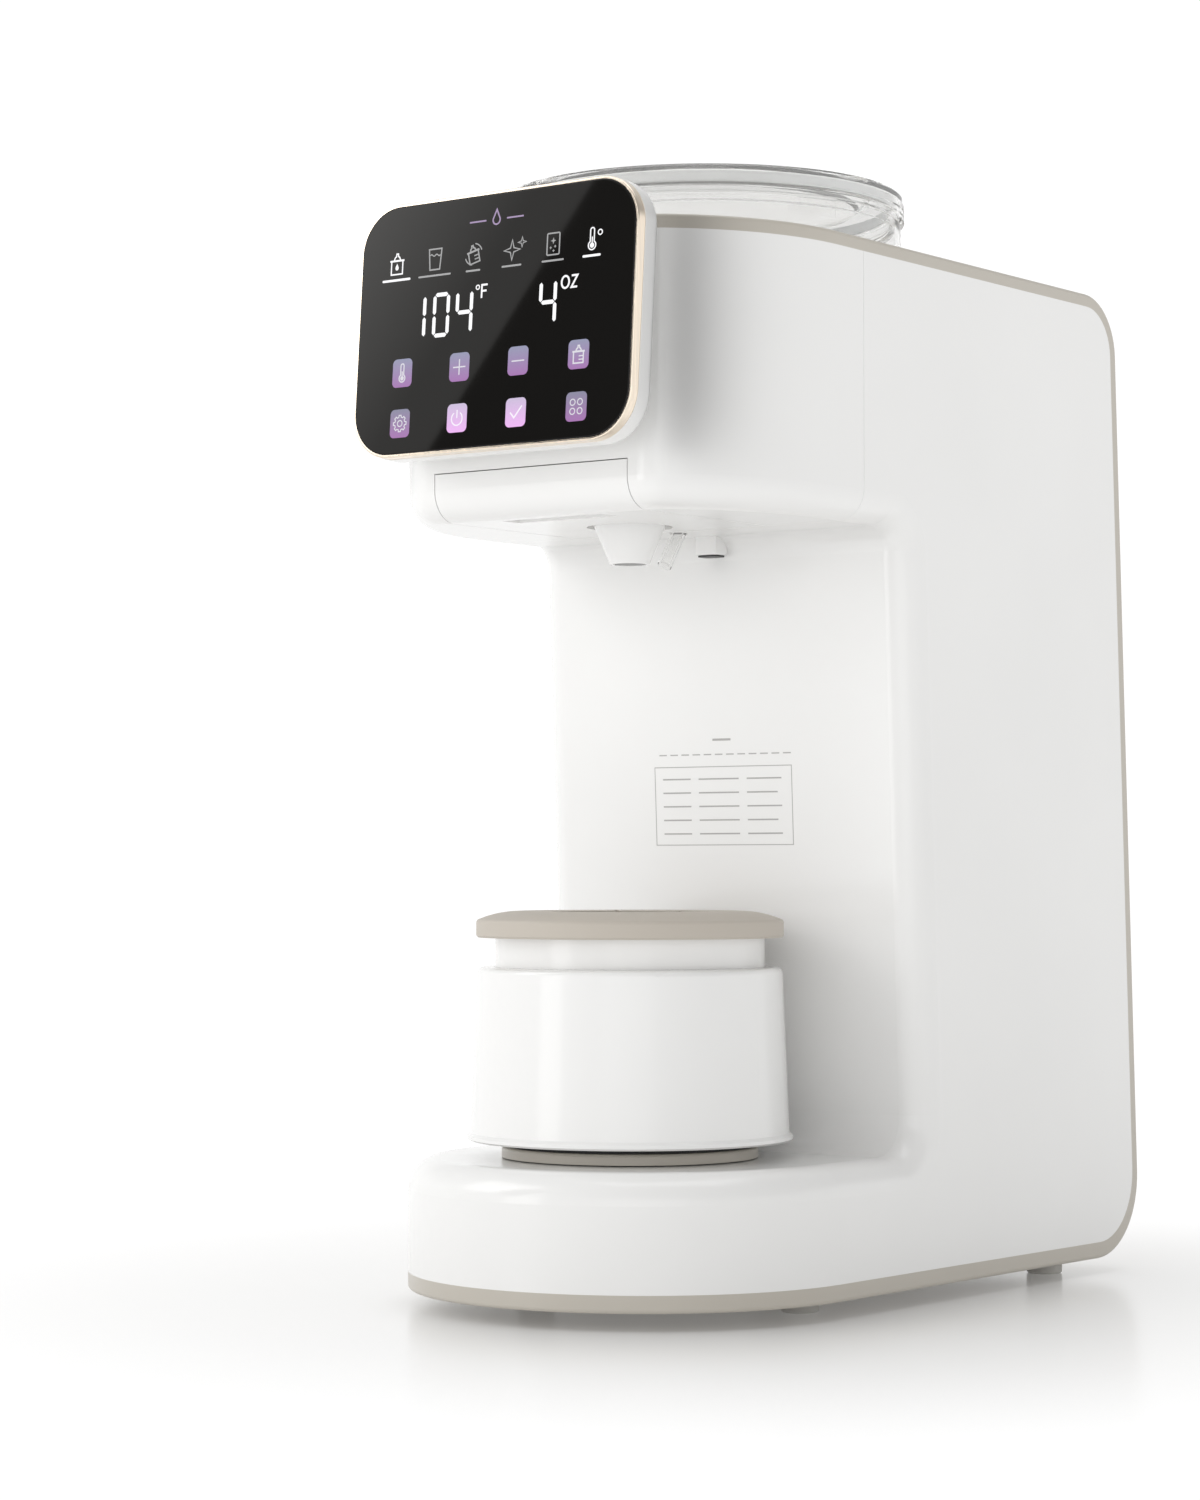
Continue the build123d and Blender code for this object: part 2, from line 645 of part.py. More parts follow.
# ---------------------------------------------------------------- hopper
def make_hopper():
    floor = HOPPER_FLOOR_Z
    step = DECK_Z + 0.4
    inside = HOPPER_R - HOPPER_WALL
    neck_inside = HOPPER_NECK_R - HOPPER_WALL
    collar_inside = HOPPER_COLLAR_R - HOPPER_WALL
    outline = [
        (SPINDLE_R + RUNNING_FIT, floor), (HOPPER_R - 5, floor), (HOPPER_R, floor + 5), (HOPPER_R, step),
        (HOPPER_COLLAR_R, step), (HOPPER_COLLAR_R, COLLAR_TOP_Z - 0.6), (HOPPER_COLLAR_R - 0.6, COLLAR_TOP_Z),
        (HOPPER_NECK_R, COLLAR_TOP_Z), (HOPPER_NECK_R, HOPPER_RIM_Z), (neck_inside, HOPPER_RIM_Z),
        (neck_inside, COLLAR_TOP_Z - 2.0), (collar_inside, COLLAR_TOP_Z - 3.2), (collar_inside, step + 3.2),
        (inside, step + 1.6), (inside, 370), (HOPPER_R - 6.4, 370), (HOPPER_R - 6.4, floor + 4),
        (SPINDLE_R + RUNNING_FIT, floor + 4),
    ]
    pads = [arc_sketch(angle, PAD_HALF, HOPPER_COLLAR_R - 1.0, HOPPER_COLLAR_R + 0.5) for angle in PAD_ANGLES]
    with BuildPart() as hopper:
        add(turned(HOPPER_Y, outline))
        with BuildSketch(Plane.XY.offset(floor - 1)):
            with Locations((0, AXIS_Y)):
                Circle(OUTLET_R)
        extrude(amount=8, mode=Mode.SUBTRACT)
        with BuildSketch(Plane.XY.offset(COLLAR_TOP_Z - 7.4)):
            with Locations((0, HOPPER_Y)):
                add(pads)
        extrude(amount=6.6)
    return hopper.part


def arc_sketch(angle, half, inner, outer):
    """Stretch of a ring, half degrees each side of an angle."""
    with BuildSketch() as tab:
        with BuildLine():
            inside = CenterArc((0, 0), inner, angle - half, 2 * half)
            outside = CenterArc((0, 0), outer, angle - half, 2 * half)
            Line(inside @ 0, outside @ 0)
            Line(inside @ 1, outside @ 1)
        make_face()
    return tab.sketch


def make_hopper_lid():
    """Dished lid whose skirt has two fine grooves and a step near its top."""
    skirt_inside = HOPPER_NECK_R + 1.4
    skirt_low = COLLAR_TOP_Z + 0.5
    outline = [
        (0, LID_TOP_Z - 5.2), (62, LID_TOP_Z - 5.2), (66, LID_TOP_Z - 2.2), (skirt_inside, LID_TOP_Z - 2.2),
        (skirt_inside, skirt_low), (LID_R, skirt_low),
    ]
    for groove_z in (skirt_low + 1.6, skirt_low + 3.8):
        outline += [(LID_R, groove_z - 0.3), (LID_R - 0.4, groove_z), (LID_R, groove_z + 0.3)]
    outline += [
        (LID_R, 438.7), (LID_R - 0.7, 439.3), (LID_R - 0.7, LID_TOP_Z - 0.9), (LID_R - 1.6, LID_TOP_Z),
        (68, LID_TOP_Z), (63, LID_TOP_Z - 3.2), (0, LID_TOP_Z - 3.2),
    ]
    return turned(HOPPER_Y, outline)


def make_lid_seal():
    low = HOPPER_RIM_Z + 0.4
    high = LID_TOP_Z - 2.2
    outline = [
        (HOPPER_NECK_R - 2.0, low), (HOPPER_NECK_R, low), (HOPPER_NECK_R, high), (HOPPER_NECK_R - 2.0, high),
    ]
    return turned(HOPPER_Y, outline)


def make_dosing_cover():
    """Sector over the outlet that keeps loose powder out of the pocket being emptied."""
    sector = arc_sketch(270, 35.0, 13.0, HOPPER_R - 2.6)
    with BuildPart() as dosing_cover:
        with BuildSketch(Plane.XY.offset(370.0)):
            with Locations((0, HOPPER_Y)):
                add(sector)
        extrude(amount=2.0)
    return dosing_cover.part


def make_spindle():
    with BuildPart() as spindle:
        add(disc(0, HOPPER_Y, 349.5, 384.0, SPINDLE_R))
        chamfer(spindle.faces().sort_by(Axis.Z)[-1].edges(), 1.0)
    return spindle.part


def make_spindle_coupler():
    """Socket with a cross slot that the drive dog fits from below."""
    with BuildPart() as spindle_coupler:
        add(disc(0, HOPPER_Y, 343.0, 351.6, 13.0))
        with BuildSketch(Plane.XY.offset(342.0)):
            with Locations((0, HOPPER_Y)):
                Rectangle(22.6, 5.6)
                Rectangle(5.6, 22.6)
        extrude(amount=7.5, mode=Mode.SUBTRACT)
        add(disc(0, HOPPER_Y, 349.5, 353.0, SPINDLE_R), mode=Mode.SUBTRACT)
    return spindle_coupler.part


def make_dosing_wheel():
    with BuildPart() as dosing_wheel:
        add(disc(0, HOPPER_Y, WHEEL_LOW_Z, WHEEL_HIGH_Z, WHEEL_R, SPINDLE_R))
        with BuildSketch(Plane.XY.offset(350)):
            with Locations((0, HOPPER_Y)):
                with PolarLocations(HOPPER_Y - AXIS_Y, POCKETS, start_angle=180 / POCKETS - 90):
                    Circle(POCKET_R)
        extrude(amount=30, mode=Mode.SUBTRACT)
    return dosing_wheel.part


def make_stirrer():
    with BuildPart() as stirrer:
        add(disc(0, HOPPER_Y, STIRRER_Z, STIRRER_Z + 8.4, 10.0))
        with BuildSketch(Plane.XY.offset(STIRRER_Z)):
            with Locations((0, HOPPER_Y)):
                with PolarLocations(0, 3, start_angle=90):
                    with Locations((38, 0)):
                        SlotOverall(66, 6)
        extrude(amount=4.0)
        add(disc(0, HOPPER_Y, STIRRER_Z - 1, STIRRER_Z + 10, SPINDLE_R), mode=Mode.SUBTRACT)
    return stirrer.part


# ---------------------------------------------------------------- dosing drive
def involute(base, angle):
    """Point of an involute of a base circle, unrolled by an angle in radians."""
    return Vector(base * (cos(angle) + angle * sin(angle)), base * (sin(angle) - angle * cos(angle)))


def gear_sketch(teeth, backlash):
    """Spur gear with 20 degree involute teeth, one tooth on +X."""
    pitch = GEAR_MODULE * teeth / 2
    base = pitch * cos(radians(20))
    tip = pitch + GEAR_MODULE * 0.95
    root = pitch - GEAR_MODULE * 1.3
    at_pitch = ((pitch / base) ** 2 - 1) ** 0.5
    pitch_turn = at_pitch - atan2(at_pitch, 1)
    half_tooth = pi / (2 * teeth) - backlash / (2 * pitch)
    start = max(0.0, ((root - 0.3) / base) ** 2 - 1) ** 0.5
    end = ((tip / base) ** 2 - 1) ** 0.5
    flank = [involute(base, start + (end - start) * k / 4) for k in range(5)]
    lower = [p.rotate(Axis.Z, -degrees(pitch_turn + half_tooth)) for p in flank]
    if start == 0:
        lower = [lower[0] * ((root - 0.3) / base)] + lower
    upper = [Vector(p.X, -p.Y) for p in reversed(lower)]
    with BuildSketch() as tooth:
        with BuildLine():
            Polyline(*lower, *upper, close=True)
        make_face()
    with BuildSketch() as gear:
        Circle(root)
        with PolarLocations(0, teeth):
            add(tooth.sketch)
    return gear.sketch


def pinion_place():
    """Centre of the pinion beside the drive gear."""
    reach = GEAR_MODULE * (GEAR_TEETH + PINION_TEETH) / 2 + 0.1
    return reach * sin(radians(PINION_BEARING)), HOPPER_Y + reach * cos(radians(PINION_BEARING))


def make_drive_gear():
    with BuildPart() as drive_gear:
        with BuildSketch(Plane.XY.offset(GEAR_Z)):
            with Locations((0, HOPPER_Y)):
                add(gear_sketch(GEAR_TEETH, 0.25), rotation=90 - PINION_BEARING)
        extrude(amount=GEAR_H)
        with BuildSketch(Plane.XY.offset(GEAR_Z - 1)):
            with Locations((0, HOPPER_Y)):
                with PolarLocations(20.5, 5):
                    Circle(8.0)
        extrude(amount=GEAR_H + 2, mode=Mode.SUBTRACT)
        add(disc(0, HOPPER_Y, CHASSIS_Z - 4.0, GEAR_Z + 0.5, SPINDLE_R))
    return drive_gear.part


def make_drive_dog():
    """Cross-shaped driver on the gear, which the spindle's coupler drops onto."""
    hub_top = GEAR_Z + GEAR_H + 4.0
    with BuildPart() as drive_dog:
        add(disc(0, HOPPER_Y, GEAR_Z + GEAR_H, hub_top, DOG_REACH))
        with BuildSketch(Plane.XY.offset(hub_top)):
            with Locations((0, HOPPER_Y)):
                Rectangle(2 * DOG_REACH, 2 * DOG_HALF_W)
                Rectangle(2 * DOG_HALF_W, 2 * DOG_REACH)
        extrude(amount=DOG_TOP_Z - hub_top)
    return drive_dog.part


def make_motor_pinion():
    x, y = pinion_place()
    turn = 90 - PINION_BEARING + 180 + 180 / PINION_TEETH
    with BuildPart() as motor_pinion:
        with BuildSketch(Plane.XY.offset(GEAR_Z)):
            with Locations((x, y)):
                add(gear_sketch(PINION_TEETH, 0.25), rotation=turn)
        extrude(amount=GEAR_H)
        add(disc(x, y, CHASSIS_Z - 8.0, GEAR_Z + 0.5, MOTOR_SHAFT_R))
    return motor_pinion.part


def make_dosing_motor():
    x, y = pinion_place()
    with BuildPart() as dosing_motor:
        add(disc(x, y, CHASSIS_Z - 56.0, CHASSIS_Z, DOSING_MOTOR_R))
        add(disc(x, y, CHASSIS_Z - 60.0, CHASSIS_Z - 56.0, 6.0))
        add(disc(x, y, CHASSIS_Z - 9.0, CHASSIS_Z + 1, MOTOR_SHAFT_R + RUNNING_FIT), mode=Mode.SUBTRACT)
    return dosing_motor.part


def make_drive_plate():
    """Chassis plate across the head that carries the gears, the motor and the chute."""
    x, y = pinion_place()
    with BuildPart() as drive_plate:
        with BuildSketch(Plane.XY.offset(CHASSIS_Z)):
            with Locations((0, 2)):
                RectangleRounded(2 * (HALF_WIDTH - WALL), 92, 6)
            with Locations((0, -66)):
                RectangleRounded(52, 60, 8)
            with Locations((0, HOPPER_Y)):
                Circle(SPINDLE_R + RUNNING_FIT, mode=Mode.SUBTRACT)
            with Locations((0, AXIS_Y)):
                Circle(CHUTE_R, mode=Mode.SUBTRACT)
            with Locations((x, y)):
                Circle(4.0, mode=Mode.SUBTRACT)
            with Locations((-66, 0), (66, 10)):
                Circle(9.0, mode=Mode.SUBTRACT)
        extrude(amount=CHASSIS_THICK)
    return drive_plate.part


def make_powder_chute():
    with BuildPart() as powder_chute:
        add(disc(0, AXIS_Y, CHASSIS_Z - 0.6, HOPPER_FLOOR_Z - 0.5, CHUTE_R, OUTLET_R))
        flange_z = CHASSIS_Z + CHASSIS_THICK
        add(disc(0, AXIS_Y, flange_z, flange_z + 1.6, CHUTE_R + 2.5, OUTLET_R + 0.5))
    return powder_chute.part


# ---------------------------------------------------------------- water tank
def make_water_tank():
    with BuildPart() as water_tank:
        with BuildSketch(Plane.XY.offset(TANK_BOTTOM_Z)):
            with Locations((0, TANK_MID_Y)):
                RectangleRounded(2 * TANK_HALF_W, TANK_DEPTH, TANK_R)
        extrude(amount=TANK_TOP_Z - TANK_BOTTOM_Z)
        fillet(water_tank.faces().sort_by(Axis.Z)[0].edges(), 4.0)
        with BuildSketch(Plane.XY.offset(TANK_BOTTOM_Z + 3)):
            with Locations((0, TANK_MID_Y)):
                width = 2 * (TANK_HALF_W - TANK_WALL)
                RectangleRounded(width, TANK_DEPTH - 2 * TANK_WALL, TANK_R - TANK_WALL)
        extrude(amount=TANK_TOP_Z, mode=Mode.SUBTRACT)
        add(disc(0, TANK_MID_Y, TANK_BOTTOM_Z - 4.4, TANK_BOTTOM_Z + 12, 9.5))
        add(disc(0, TANK_MID_Y, TANK_BOTTOM_Z - 5, TANK_BOTTOM_Z + 9, 6.5), mode=Mode.SUBTRACT)
        add(disc(0, TANK_MID_Y, TANK_BOTTOM_Z, TANK_BOTTOM_Z + 13, 3.4), mode=Mode.SUBTRACT)
    return water_tank.part


def make_tank_lid():
    top = DECK_Z
    with BuildPart() as tank_lid:
        with BuildSketch(Plane.XY.offset(TANK_TOP_Z + 0.6)):
            with Locations((0, TANK_MID_Y)):
                RectangleRounded(2 * TANK_HALF_W + 2.6, TANK_DEPTH + 2.2, TANK_R + 1)
        extrude(amount=top - TANK_TOP_Z - 0.6)
        fillet(tank_lid.faces().sort_by(Axis.Z)[-1].edges(), 1.2)
        with BuildSketch(Plane.XY.offset(top - 3.6)):
            with Locations((0, TANK_MID_Y)):
                SlotOverall(70, 24)
        extrude(amount=10, mode=Mode.SUBTRACT)
        with BuildSketch(Plane.XY.offset(TANK_TOP_Z - 5.0)):
            with Locations((0, TANK_MID_Y)):
                width = 2 * (TANK_HALF_W - TANK_WALL) - 0.8
                depth = TANK_DEPTH - 2 * TANK_WALL - 0.8
                RectangleRounded(width, depth, TANK_R - 3)
                RectangleRounded(width - 4, depth - 4, TANK_R - 5, mode=Mode.SUBTRACT)
        extrude(amount=5.8)
    return tank_lid.part


def make_tank_valve():
    """Plunger that the dock's pin lifts to let water out."""
    low = TANK_BOTTOM_Z
    outline = [
        (0, low - 1.0), (5.6, low - 1.0), (5.6, low + 0.2), (2.6, low + 0.2), (2.6, low + 13.0),
        (7.0, low + 13.0), (7.0, low + 15.0), (0, low + 15.0),
    ]
    return turned(TANK_MID_Y, outline)


def make_valve_seal():
    low = TANK_BOTTOM_Z + 12.0
    return disc(0, TANK_MID_Y, low, low + 1.0, 6.6, 3.4)


def make_valve_spring():
    """Coil round the plunger's stem, under the tank's floor."""
    low = TANK_BOTTOM_Z + 0.8
    coil = Helix(pitch=1.85, height=7.4, radius=4.8, center=(0, TANK_MID_Y, low))
    start = Plane(origin=coil @ 0, z_dir=coil % 0)
    with BuildPart() as valve_spring:
        with BuildSketch(start):
            Circle(0.45)
        sweep(path=coil)
    return valve_spring.part


def make_tank_shelf():
    with BuildPart() as tank_shelf:
        with BuildSketch(Plane.XY.offset(SHELF_Z)):
            with Locations((0, TANK_MID_Y + 2)):
                Rectangle(2 * (HALF_WIDTH - WALL), 84)
            with Locations((0, TANK_MID_Y)):
                Circle(5.0, mode=Mode.SUBTRACT)
        extrude(amount=SHELF_THICK)
        low = SHELF_Z + SHELF_THICK - 1
        for side in (-1, 1):
            add(block(*sorted_box(side, 81, 84, TANK_FRONT_Y, TANK_BACK_Y, low, SHELF_Z + 20)))
            add(block(*sorted_box(side, 50, 60, TANK_FRONT_Y + 4, TANK_BACK_Y - 4, low, TANK_BOTTOM_Z - 0.1)))
    return tank_shelf.part


def make_tank_dock():
    """Socket on the shelf, with the pin that opens the tank's valve and the outlet below."""
    low = SHELF_Z + SHELF_THICK
    with BuildPart() as tank_dock:
        add(disc(0, TANK_MID_Y, low, TANK_BOTTOM_Z - 0.8, 14.0, 9.9))
        add(disc(0, TANK_MID_Y, SHELF_Z - 12, low + 0.2, 5.0))
        add(disc(0, TANK_MID_Y, low, low + 0.2, 12.0))
        add(disc(0, TANK_MID_Y, low, low + 3.4, 1.6))
        with BuildSketch(Plane.XY.offset(SHELF_Z - 13)):
            with Locations((0, TANK_MID_Y)):
                with PolarLocations(3.0, 4):
                    Circle(1.1)
        extrude(amount=20, mode=Mode.SUBTRACT)
    return tank_dock.part


# ---------------------------------------------------------------- water path and electrics
def make_water_pump():
    x, y = PUMP
    with BuildPart() as water_pump:
        add(disc(x, y, PUMP_Z, PUMP_TOP_Z, PUMP_R))
        fillet(water_pump.faces().filter_by(Axis.Z).edges(), 1.5)
        add(disc(x, y, PUMP_TOP_Z - 1, PUMP_TOP_Z + 6, HOSE_R))
        with BuildSketch(Plane.YZ.offset(x - PUMP_R + 1)):
            with Locations((y, PUMP_OUTLET_Z)):
                Circle(HOSE_R)
        extrude(amount=-8)
        add(block((x - 21, y - 14, PUMP_Z - 6), (x + 21, y + 14, PUMP_Z)))
    return water_pump.part


def make_water_heater():
    x, y = HEATER
    with BuildPart() as water_heater:
        add(disc(x, y, HEATER_Z, HEATER_TOP_Z, HEATER_R))
        fillet(water_heater.faces().filter_by(Axis.Z).edges(), 5.0)
        for z in (HEATER_Z + 18, HEATER_Z + 46, HEATER_Z + 74):
            add(disc(x, y, z, z + 4, HEATER_R + 1.2))
        add(disc(x, y, HEATER_TOP_Z - 1, HEATER_TOP_Z + 7, HOSE_R))
        with BuildSketch(Plane.YZ.offset(x + HEATER_R - 1)):
            with Locations((y, HEATER_INLET_Z)):
                Circle(HOSE_R)
        extrude(amount=8)
    return water_heater.part


def make_hoses():
    """Silicone hoses from the dock to the pump, the pump to the heater, and the heater to the spout."""
    x_pump, y = PUMP
    x_heat = HEATER[0]
    run_z = PUMP_TOP_Z + 24
    dock = (0, y, SHELF_Z - 12)
    pump_in = (x_pump, y, PUMP_TOP_Z + 6)
    tank_hose = tube([dock, (0, y, run_z), (x_pump, y, run_z), pump_in], HOSE_R, 8.0, HOSE_BORE_R)
    pump_out = (x_pump - PUMP_R - 7, y, PUMP_OUTLET_Z)
    heat_in = (x_heat + HEATER_R + 7, y, HEATER_INLET_Z)
    middle = (pump_out[0] + heat_in[0]) / 2
    climb = [(middle, y, PUMP_OUTLET_Z), (middle, y, HEATER_INLET_Z)]
    pump_hose = tube([pump_out, *climb, heat_in], HOSE_R, 4.0, HOSE_BORE_R)
    front_y = 4.0
    turn_z = HEATER_TOP_Z + 15
    top_z = SPOUT_END[2]
    route = [
        (x_heat, y, HEATER_TOP_Z + 7), (x_heat, y, turn_z), (x_heat, front_y, turn_z),
        (x_heat, front_y, top_z), (0, front_y, top_z), SPOUT_END,
    ]
    spout_hose = tube(route, HOSE_R, 6.5, HOSE_BORE_R)
    return tank_hose, pump_hose, spout_hose


def make_control_board():
    """Circuit board on the right wall, with its larger components."""
    back = HALF_WIDTH - WALL - BOARD_GAP
    face = back - BOARD_THICK
    components = ((24, 150, 10, 18), (48, 156, 16, 12), (70, 130, 12, 30), (36, 112, 22, 22))
    with BuildPart() as control_board:
        add(block((face, 12, 92), (back, 82, 178)))
        for y, z, deep, high in components:
            add(block((face - 6.4, y - deep / 2, z - high / 2), (face, y + deep / 2, z + high / 2)))
    return control_board.part


def make_board_standoffs():
    face = HALF_WIDTH - WALL
    with BuildPart() as board_standoffs:
        with BuildSketch(Plane.YZ.offset(face - BOARD_GAP)):
            with Locations((18, 98), (76, 98), (18, 172), (76, 172)):
                Circle(3.0)
        extrude(amount=BOARD_GAP)
    return board_standoffs.part


def make_power_supply():
    with BuildPart() as power_supply:
        add(block((-64, 62, PLATE_BOTTOM_Z + WALL), (20, 122, 44)))
        fillet(power_supply.edges().filter_by(Axis.Z), 3.0)
        fillet(power_supply.faces().sort_by(Axis.Z)[-1].edges(), 1.5)
        for row in range(6):
            add(block((-54 + 11 * row, 72, 43), (-49 + 11 * row, 112, 46)), mode=Mode.SUBTRACT)
    return power_supply.part


def make_power_inlet():
    """Appliance inlet with a five-sided socket and three flat pins."""
    face = INLET_FACE_Y
    with BuildPart() as power_inlet:
        add(block((INLET_X - 14, face - 22, INLET_Z - 10), (INLET_X + 14, face, INLET_Z + 10)))
        add(block((INLET_X - 17, face - 5.2, INLET_Z - 13), (INLET_X + 17, face - 2.8, INLET_Z + 13)))
        with BuildSketch(Plane.XZ.offset(-face)) as socket:
            with Locations((INLET_X, INLET_Z)):
                Rectangle(24, 16)
            chamfer(socket.vertices().group_by(Axis.Y)[-1], 4.0)
        extrude(amount=16, mode=Mode.SUBTRACT)
        with BuildSketch(Plane.XZ.offset(-face + 17)):
            with Locations((INLET_X - 7, INLET_Z - 2), (INLET_X, INLET_Z + 2), (INLET_X + 7, INLET_Z - 2)):
                Rectangle(2, 4)
        extrude(amount=-12)
    return power_inlet.part


# ---------------------------------------------------------------- shaker
def make_turntable():
    with BuildPart() as turntable:
        add(disc(0, AXIS_Y, TURNTABLE_Z, TURNTABLE_TOP_Z, TURNTABLE_R))
        fillet(turntable.faces().sort_by(Axis.Z)[-1].edges(), 1.2)
        with BuildSketch(Plane.XY.offset(TURNTABLE_TOP_Z - 1)):
            with Locations((0, AXIS_Y)):
                RegularPolygon(14.0, 6)
        extrude(amount=4.4)
        add(disc(0, AXIS_Y, PULLEY_Z - 4, TURNTABLE_Z + 1, TURNTABLE_SHAFT_R))
    return turntable.part


def make_turntable_bearing():
    with BuildPart() as turntable_bearing:
        add(disc(0, AXIS_Y, 44.0, BASE_TOP_Z - WALL, 14.0, TURNTABLE_SHAFT_R + RUNNING_FIT))
        add(disc(0, AXIS_Y, BASE_TOP_Z - WALL - 2.5, BASE_TOP_Z - WALL, 22.0, 13.5))
    return turntable_bearing.part


def pulley(x, y, radius, bore):
    """Flanged belt pulley."""
    with BuildPart() as wheel:
        add(disc(x, y, PULLEY_Z, PULLEY_Z + PULLEY_H, radius, bore))
        add(disc(x, y, PULLEY_Z - 1.2, PULLEY_Z, radius + 2.4, bore))
        add(disc(x, y, PULLEY_Z + PULLEY_H, PULLEY_Z + PULLEY_H + 1.2, radius + 2.4, bore))
    return wheel.part


def belt_sketch(gap):
    """Open belt's outline round both pulleys, a gap outside their rims."""
    reach = SHAKER_MOTOR_Y - AXIS_Y
    big = PULLEY_R + gap
    small = MOTOR_PULLEY_R + gap
    tilt = (big - small) / reach
    side = (1 - tilt ** 2) ** 0.5
    with BuildSketch() as belt:
        with Locations((0, AXIS_Y)):
            Circle(big)
        with Locations((0, SHAKER_MOTOR_Y)):
            Circle(small)
        with BuildLine():
            Polyline(
                (-big * side, AXIS_Y + big * tilt), (big * side, AXIS_Y + big * tilt),
                (small * side, SHAKER_MOTOR_Y + small * tilt), (-small * side, SHAKER_MOTOR_Y + small * tilt),
                close=True,
            )
        make_face()
    return belt.sketch


def make_shaker_belt():
    outside = belt_sketch(BELT_GAP + BELT_THICK)
    inside = belt_sketch(BELT_GAP)
    with BuildPart() as shaker_belt:
        with BuildSketch(Plane.XY.offset(PULLEY_Z + 1)):
            add(outside)
            add(inside, mode=Mode.SUBTRACT)
        extrude(amount=PULLEY_H - 2)
    return shaker_belt.part


def make_motor_pulley():
    with BuildPart() as motor_pulley:
        add(pulley(0, SHAKER_MOTOR_Y, MOTOR_PULLEY_R, 0))
        add(disc(0, SHAKER_MOTOR_Y, PULLEY_Z - 4, 48, MOTOR_SHAFT_R))
    return motor_pulley.part


def make_shaker_motor():
    with BuildPart() as shaker_motor:
        add(disc(0, SHAKER_MOTOR_Y, 40.0, 78.0, 18.0))
        fillet(shaker_motor.faces().sort_by(Axis.Z)[-1].edges(), 2.0)
        add(disc(0, SHAKER_MOTOR_Y, 39.0, 49, MOTOR_SHAFT_R + RUNNING_FIT), mode=Mode.SUBTRACT)
    return shaker_motor.part


def make_motor_bracket():
    floor = PLATE_BOTTOM_Z + WALL
    with BuildPart() as motor_bracket:
        add(block((-30, 0, 37.5), (30, 40, 40)))
        for side in (-1, 1):
            add(block(*sorted_box(side, 26, 30, 8, 36, floor, 38)))
        add(disc(0, SHAKER_MOTOR_Y, 37, 41, 5.0), mode=Mode.SUBTRACT)
    return motor_bracket.part


# ---------------------------------------------------------------- bottle holder
def make_holder_skirt():
    """Tapered outer shell with a small flange round its foot and a rounded top edge."""
    low = HOLDER_BOTTOM_Z
    top = HOLDER_TOP_Z
    edge = HOLDER_EDGE_R
    collar = CUP_R + 0.4
    bore = 16.0
    with BuildPart() as holder_skirt:
        with BuildSketch(Plane.XZ.offset(-AXIS_Y)):
            with BuildLine():
                Polyline((bore, low), (HOLDER_WALL_R, low), (HOLDER_FLANGE_R, low + 0.8))
                Line((HOLDER_FLANGE_R, low + 0.8), (HOLDER_FLANGE_R, low + 2.0))
                Polyline((HOLDER_FLANGE_R, low + 2.0), (HOLDER_WALL_R, low + 3.2), (HOLDER_TOP_R, top - edge))
                RadiusArc((HOLDER_TOP_R, top - edge), (HOLDER_TOP_R - edge, top), -edge - 0.1)
                Polyline((HOLDER_TOP_R - edge, top), (collar, top), (collar, top - 2.4))
                Line((collar, top - 2.4), (HOLDER_TOP_R - 2.6, top - 3.4))
                Line((HOLDER_TOP_R - 2.6, top - 3.4), (HOLDER_WALL_R - 2.5, low + 2.5))
                Polyline((HOLDER_WALL_R - 2.5, low + 2.5), (bore, low + 2.5), (bore, low))
            make_face()
        revolve(axis=Axis((0, AXIS_Y, 0), (0, 0, 1)))
    return holder_skirt.part


def make_holder_foot():
    return disc(0, AXIS_Y, TURNTABLE_TOP_Z + 0.1, HOLDER_BOTTOM_Z, HOLDER_FOOT_R, 17.0)


def make_holder_cup():
    low = CUP_BOTTOM_Z
    top = RING_Z + 3.4
    inside = CUP_R - CUP_WALL
    outline = [
        (0, low), (CUP_R - 3, low), (CUP_R, low + 3), (CUP_R, top),
        (inside, top), (inside, low + 3), (0, low + 3),
    ]
    return turned(AXIS_Y, outline)


def make_holder_ring():
    """Soft grip ring: a flat upright edge, then a top that slopes gently up to the bottle's hole."""
    low = RING_Z
    top = RING_TOP_Z
    inside = CUP_R - CUP_WALL
    lip = 47.0
    with BuildPart() as holder_ring:
        with BuildSketch(Plane.XZ.offset(-AXIS_Y)):
            with BuildLine():
                Polyline((CUP_R, low), (RING_R - 0.8, low), (RING_R, low + 0.8), (RING_R, low + 5.8))
                RadiusArc((RING_R, low + 5.8), (RING_R - 1.3, low + 7.3), -1.6)
                Spline((RING_R - 1.3, low + 7.3), (RING_R - 8, low + 9.4), (44, top))
                Polyline((44, top), (BOTTLE_HOLE_R, top - 0.4), (BOTTLE_HOLE_R, low + 5.4), (lip, low + 5.4))
                Polyline((lip, low + 5.4), (lip, low), (inside, low), (inside, low + 3.4))
                Polyline((inside, low + 3.4), (CUP_R, low + 3.4), (CUP_R, low))
            make_face()
        revolve(axis=Axis((0, AXIS_Y, 0), (0, 0, 1)))
        with BuildSketch(Plane.XY.offset(low + 4)):
            with Locations((0, AXIS_Y)):
                with PolarLocations(BOTTLE_HOLE_R + 4, 8):
                    Rectangle(12, 1.6)
        extrude(amount=12, mode=Mode.SUBTRACT)
    return holder_ring.part


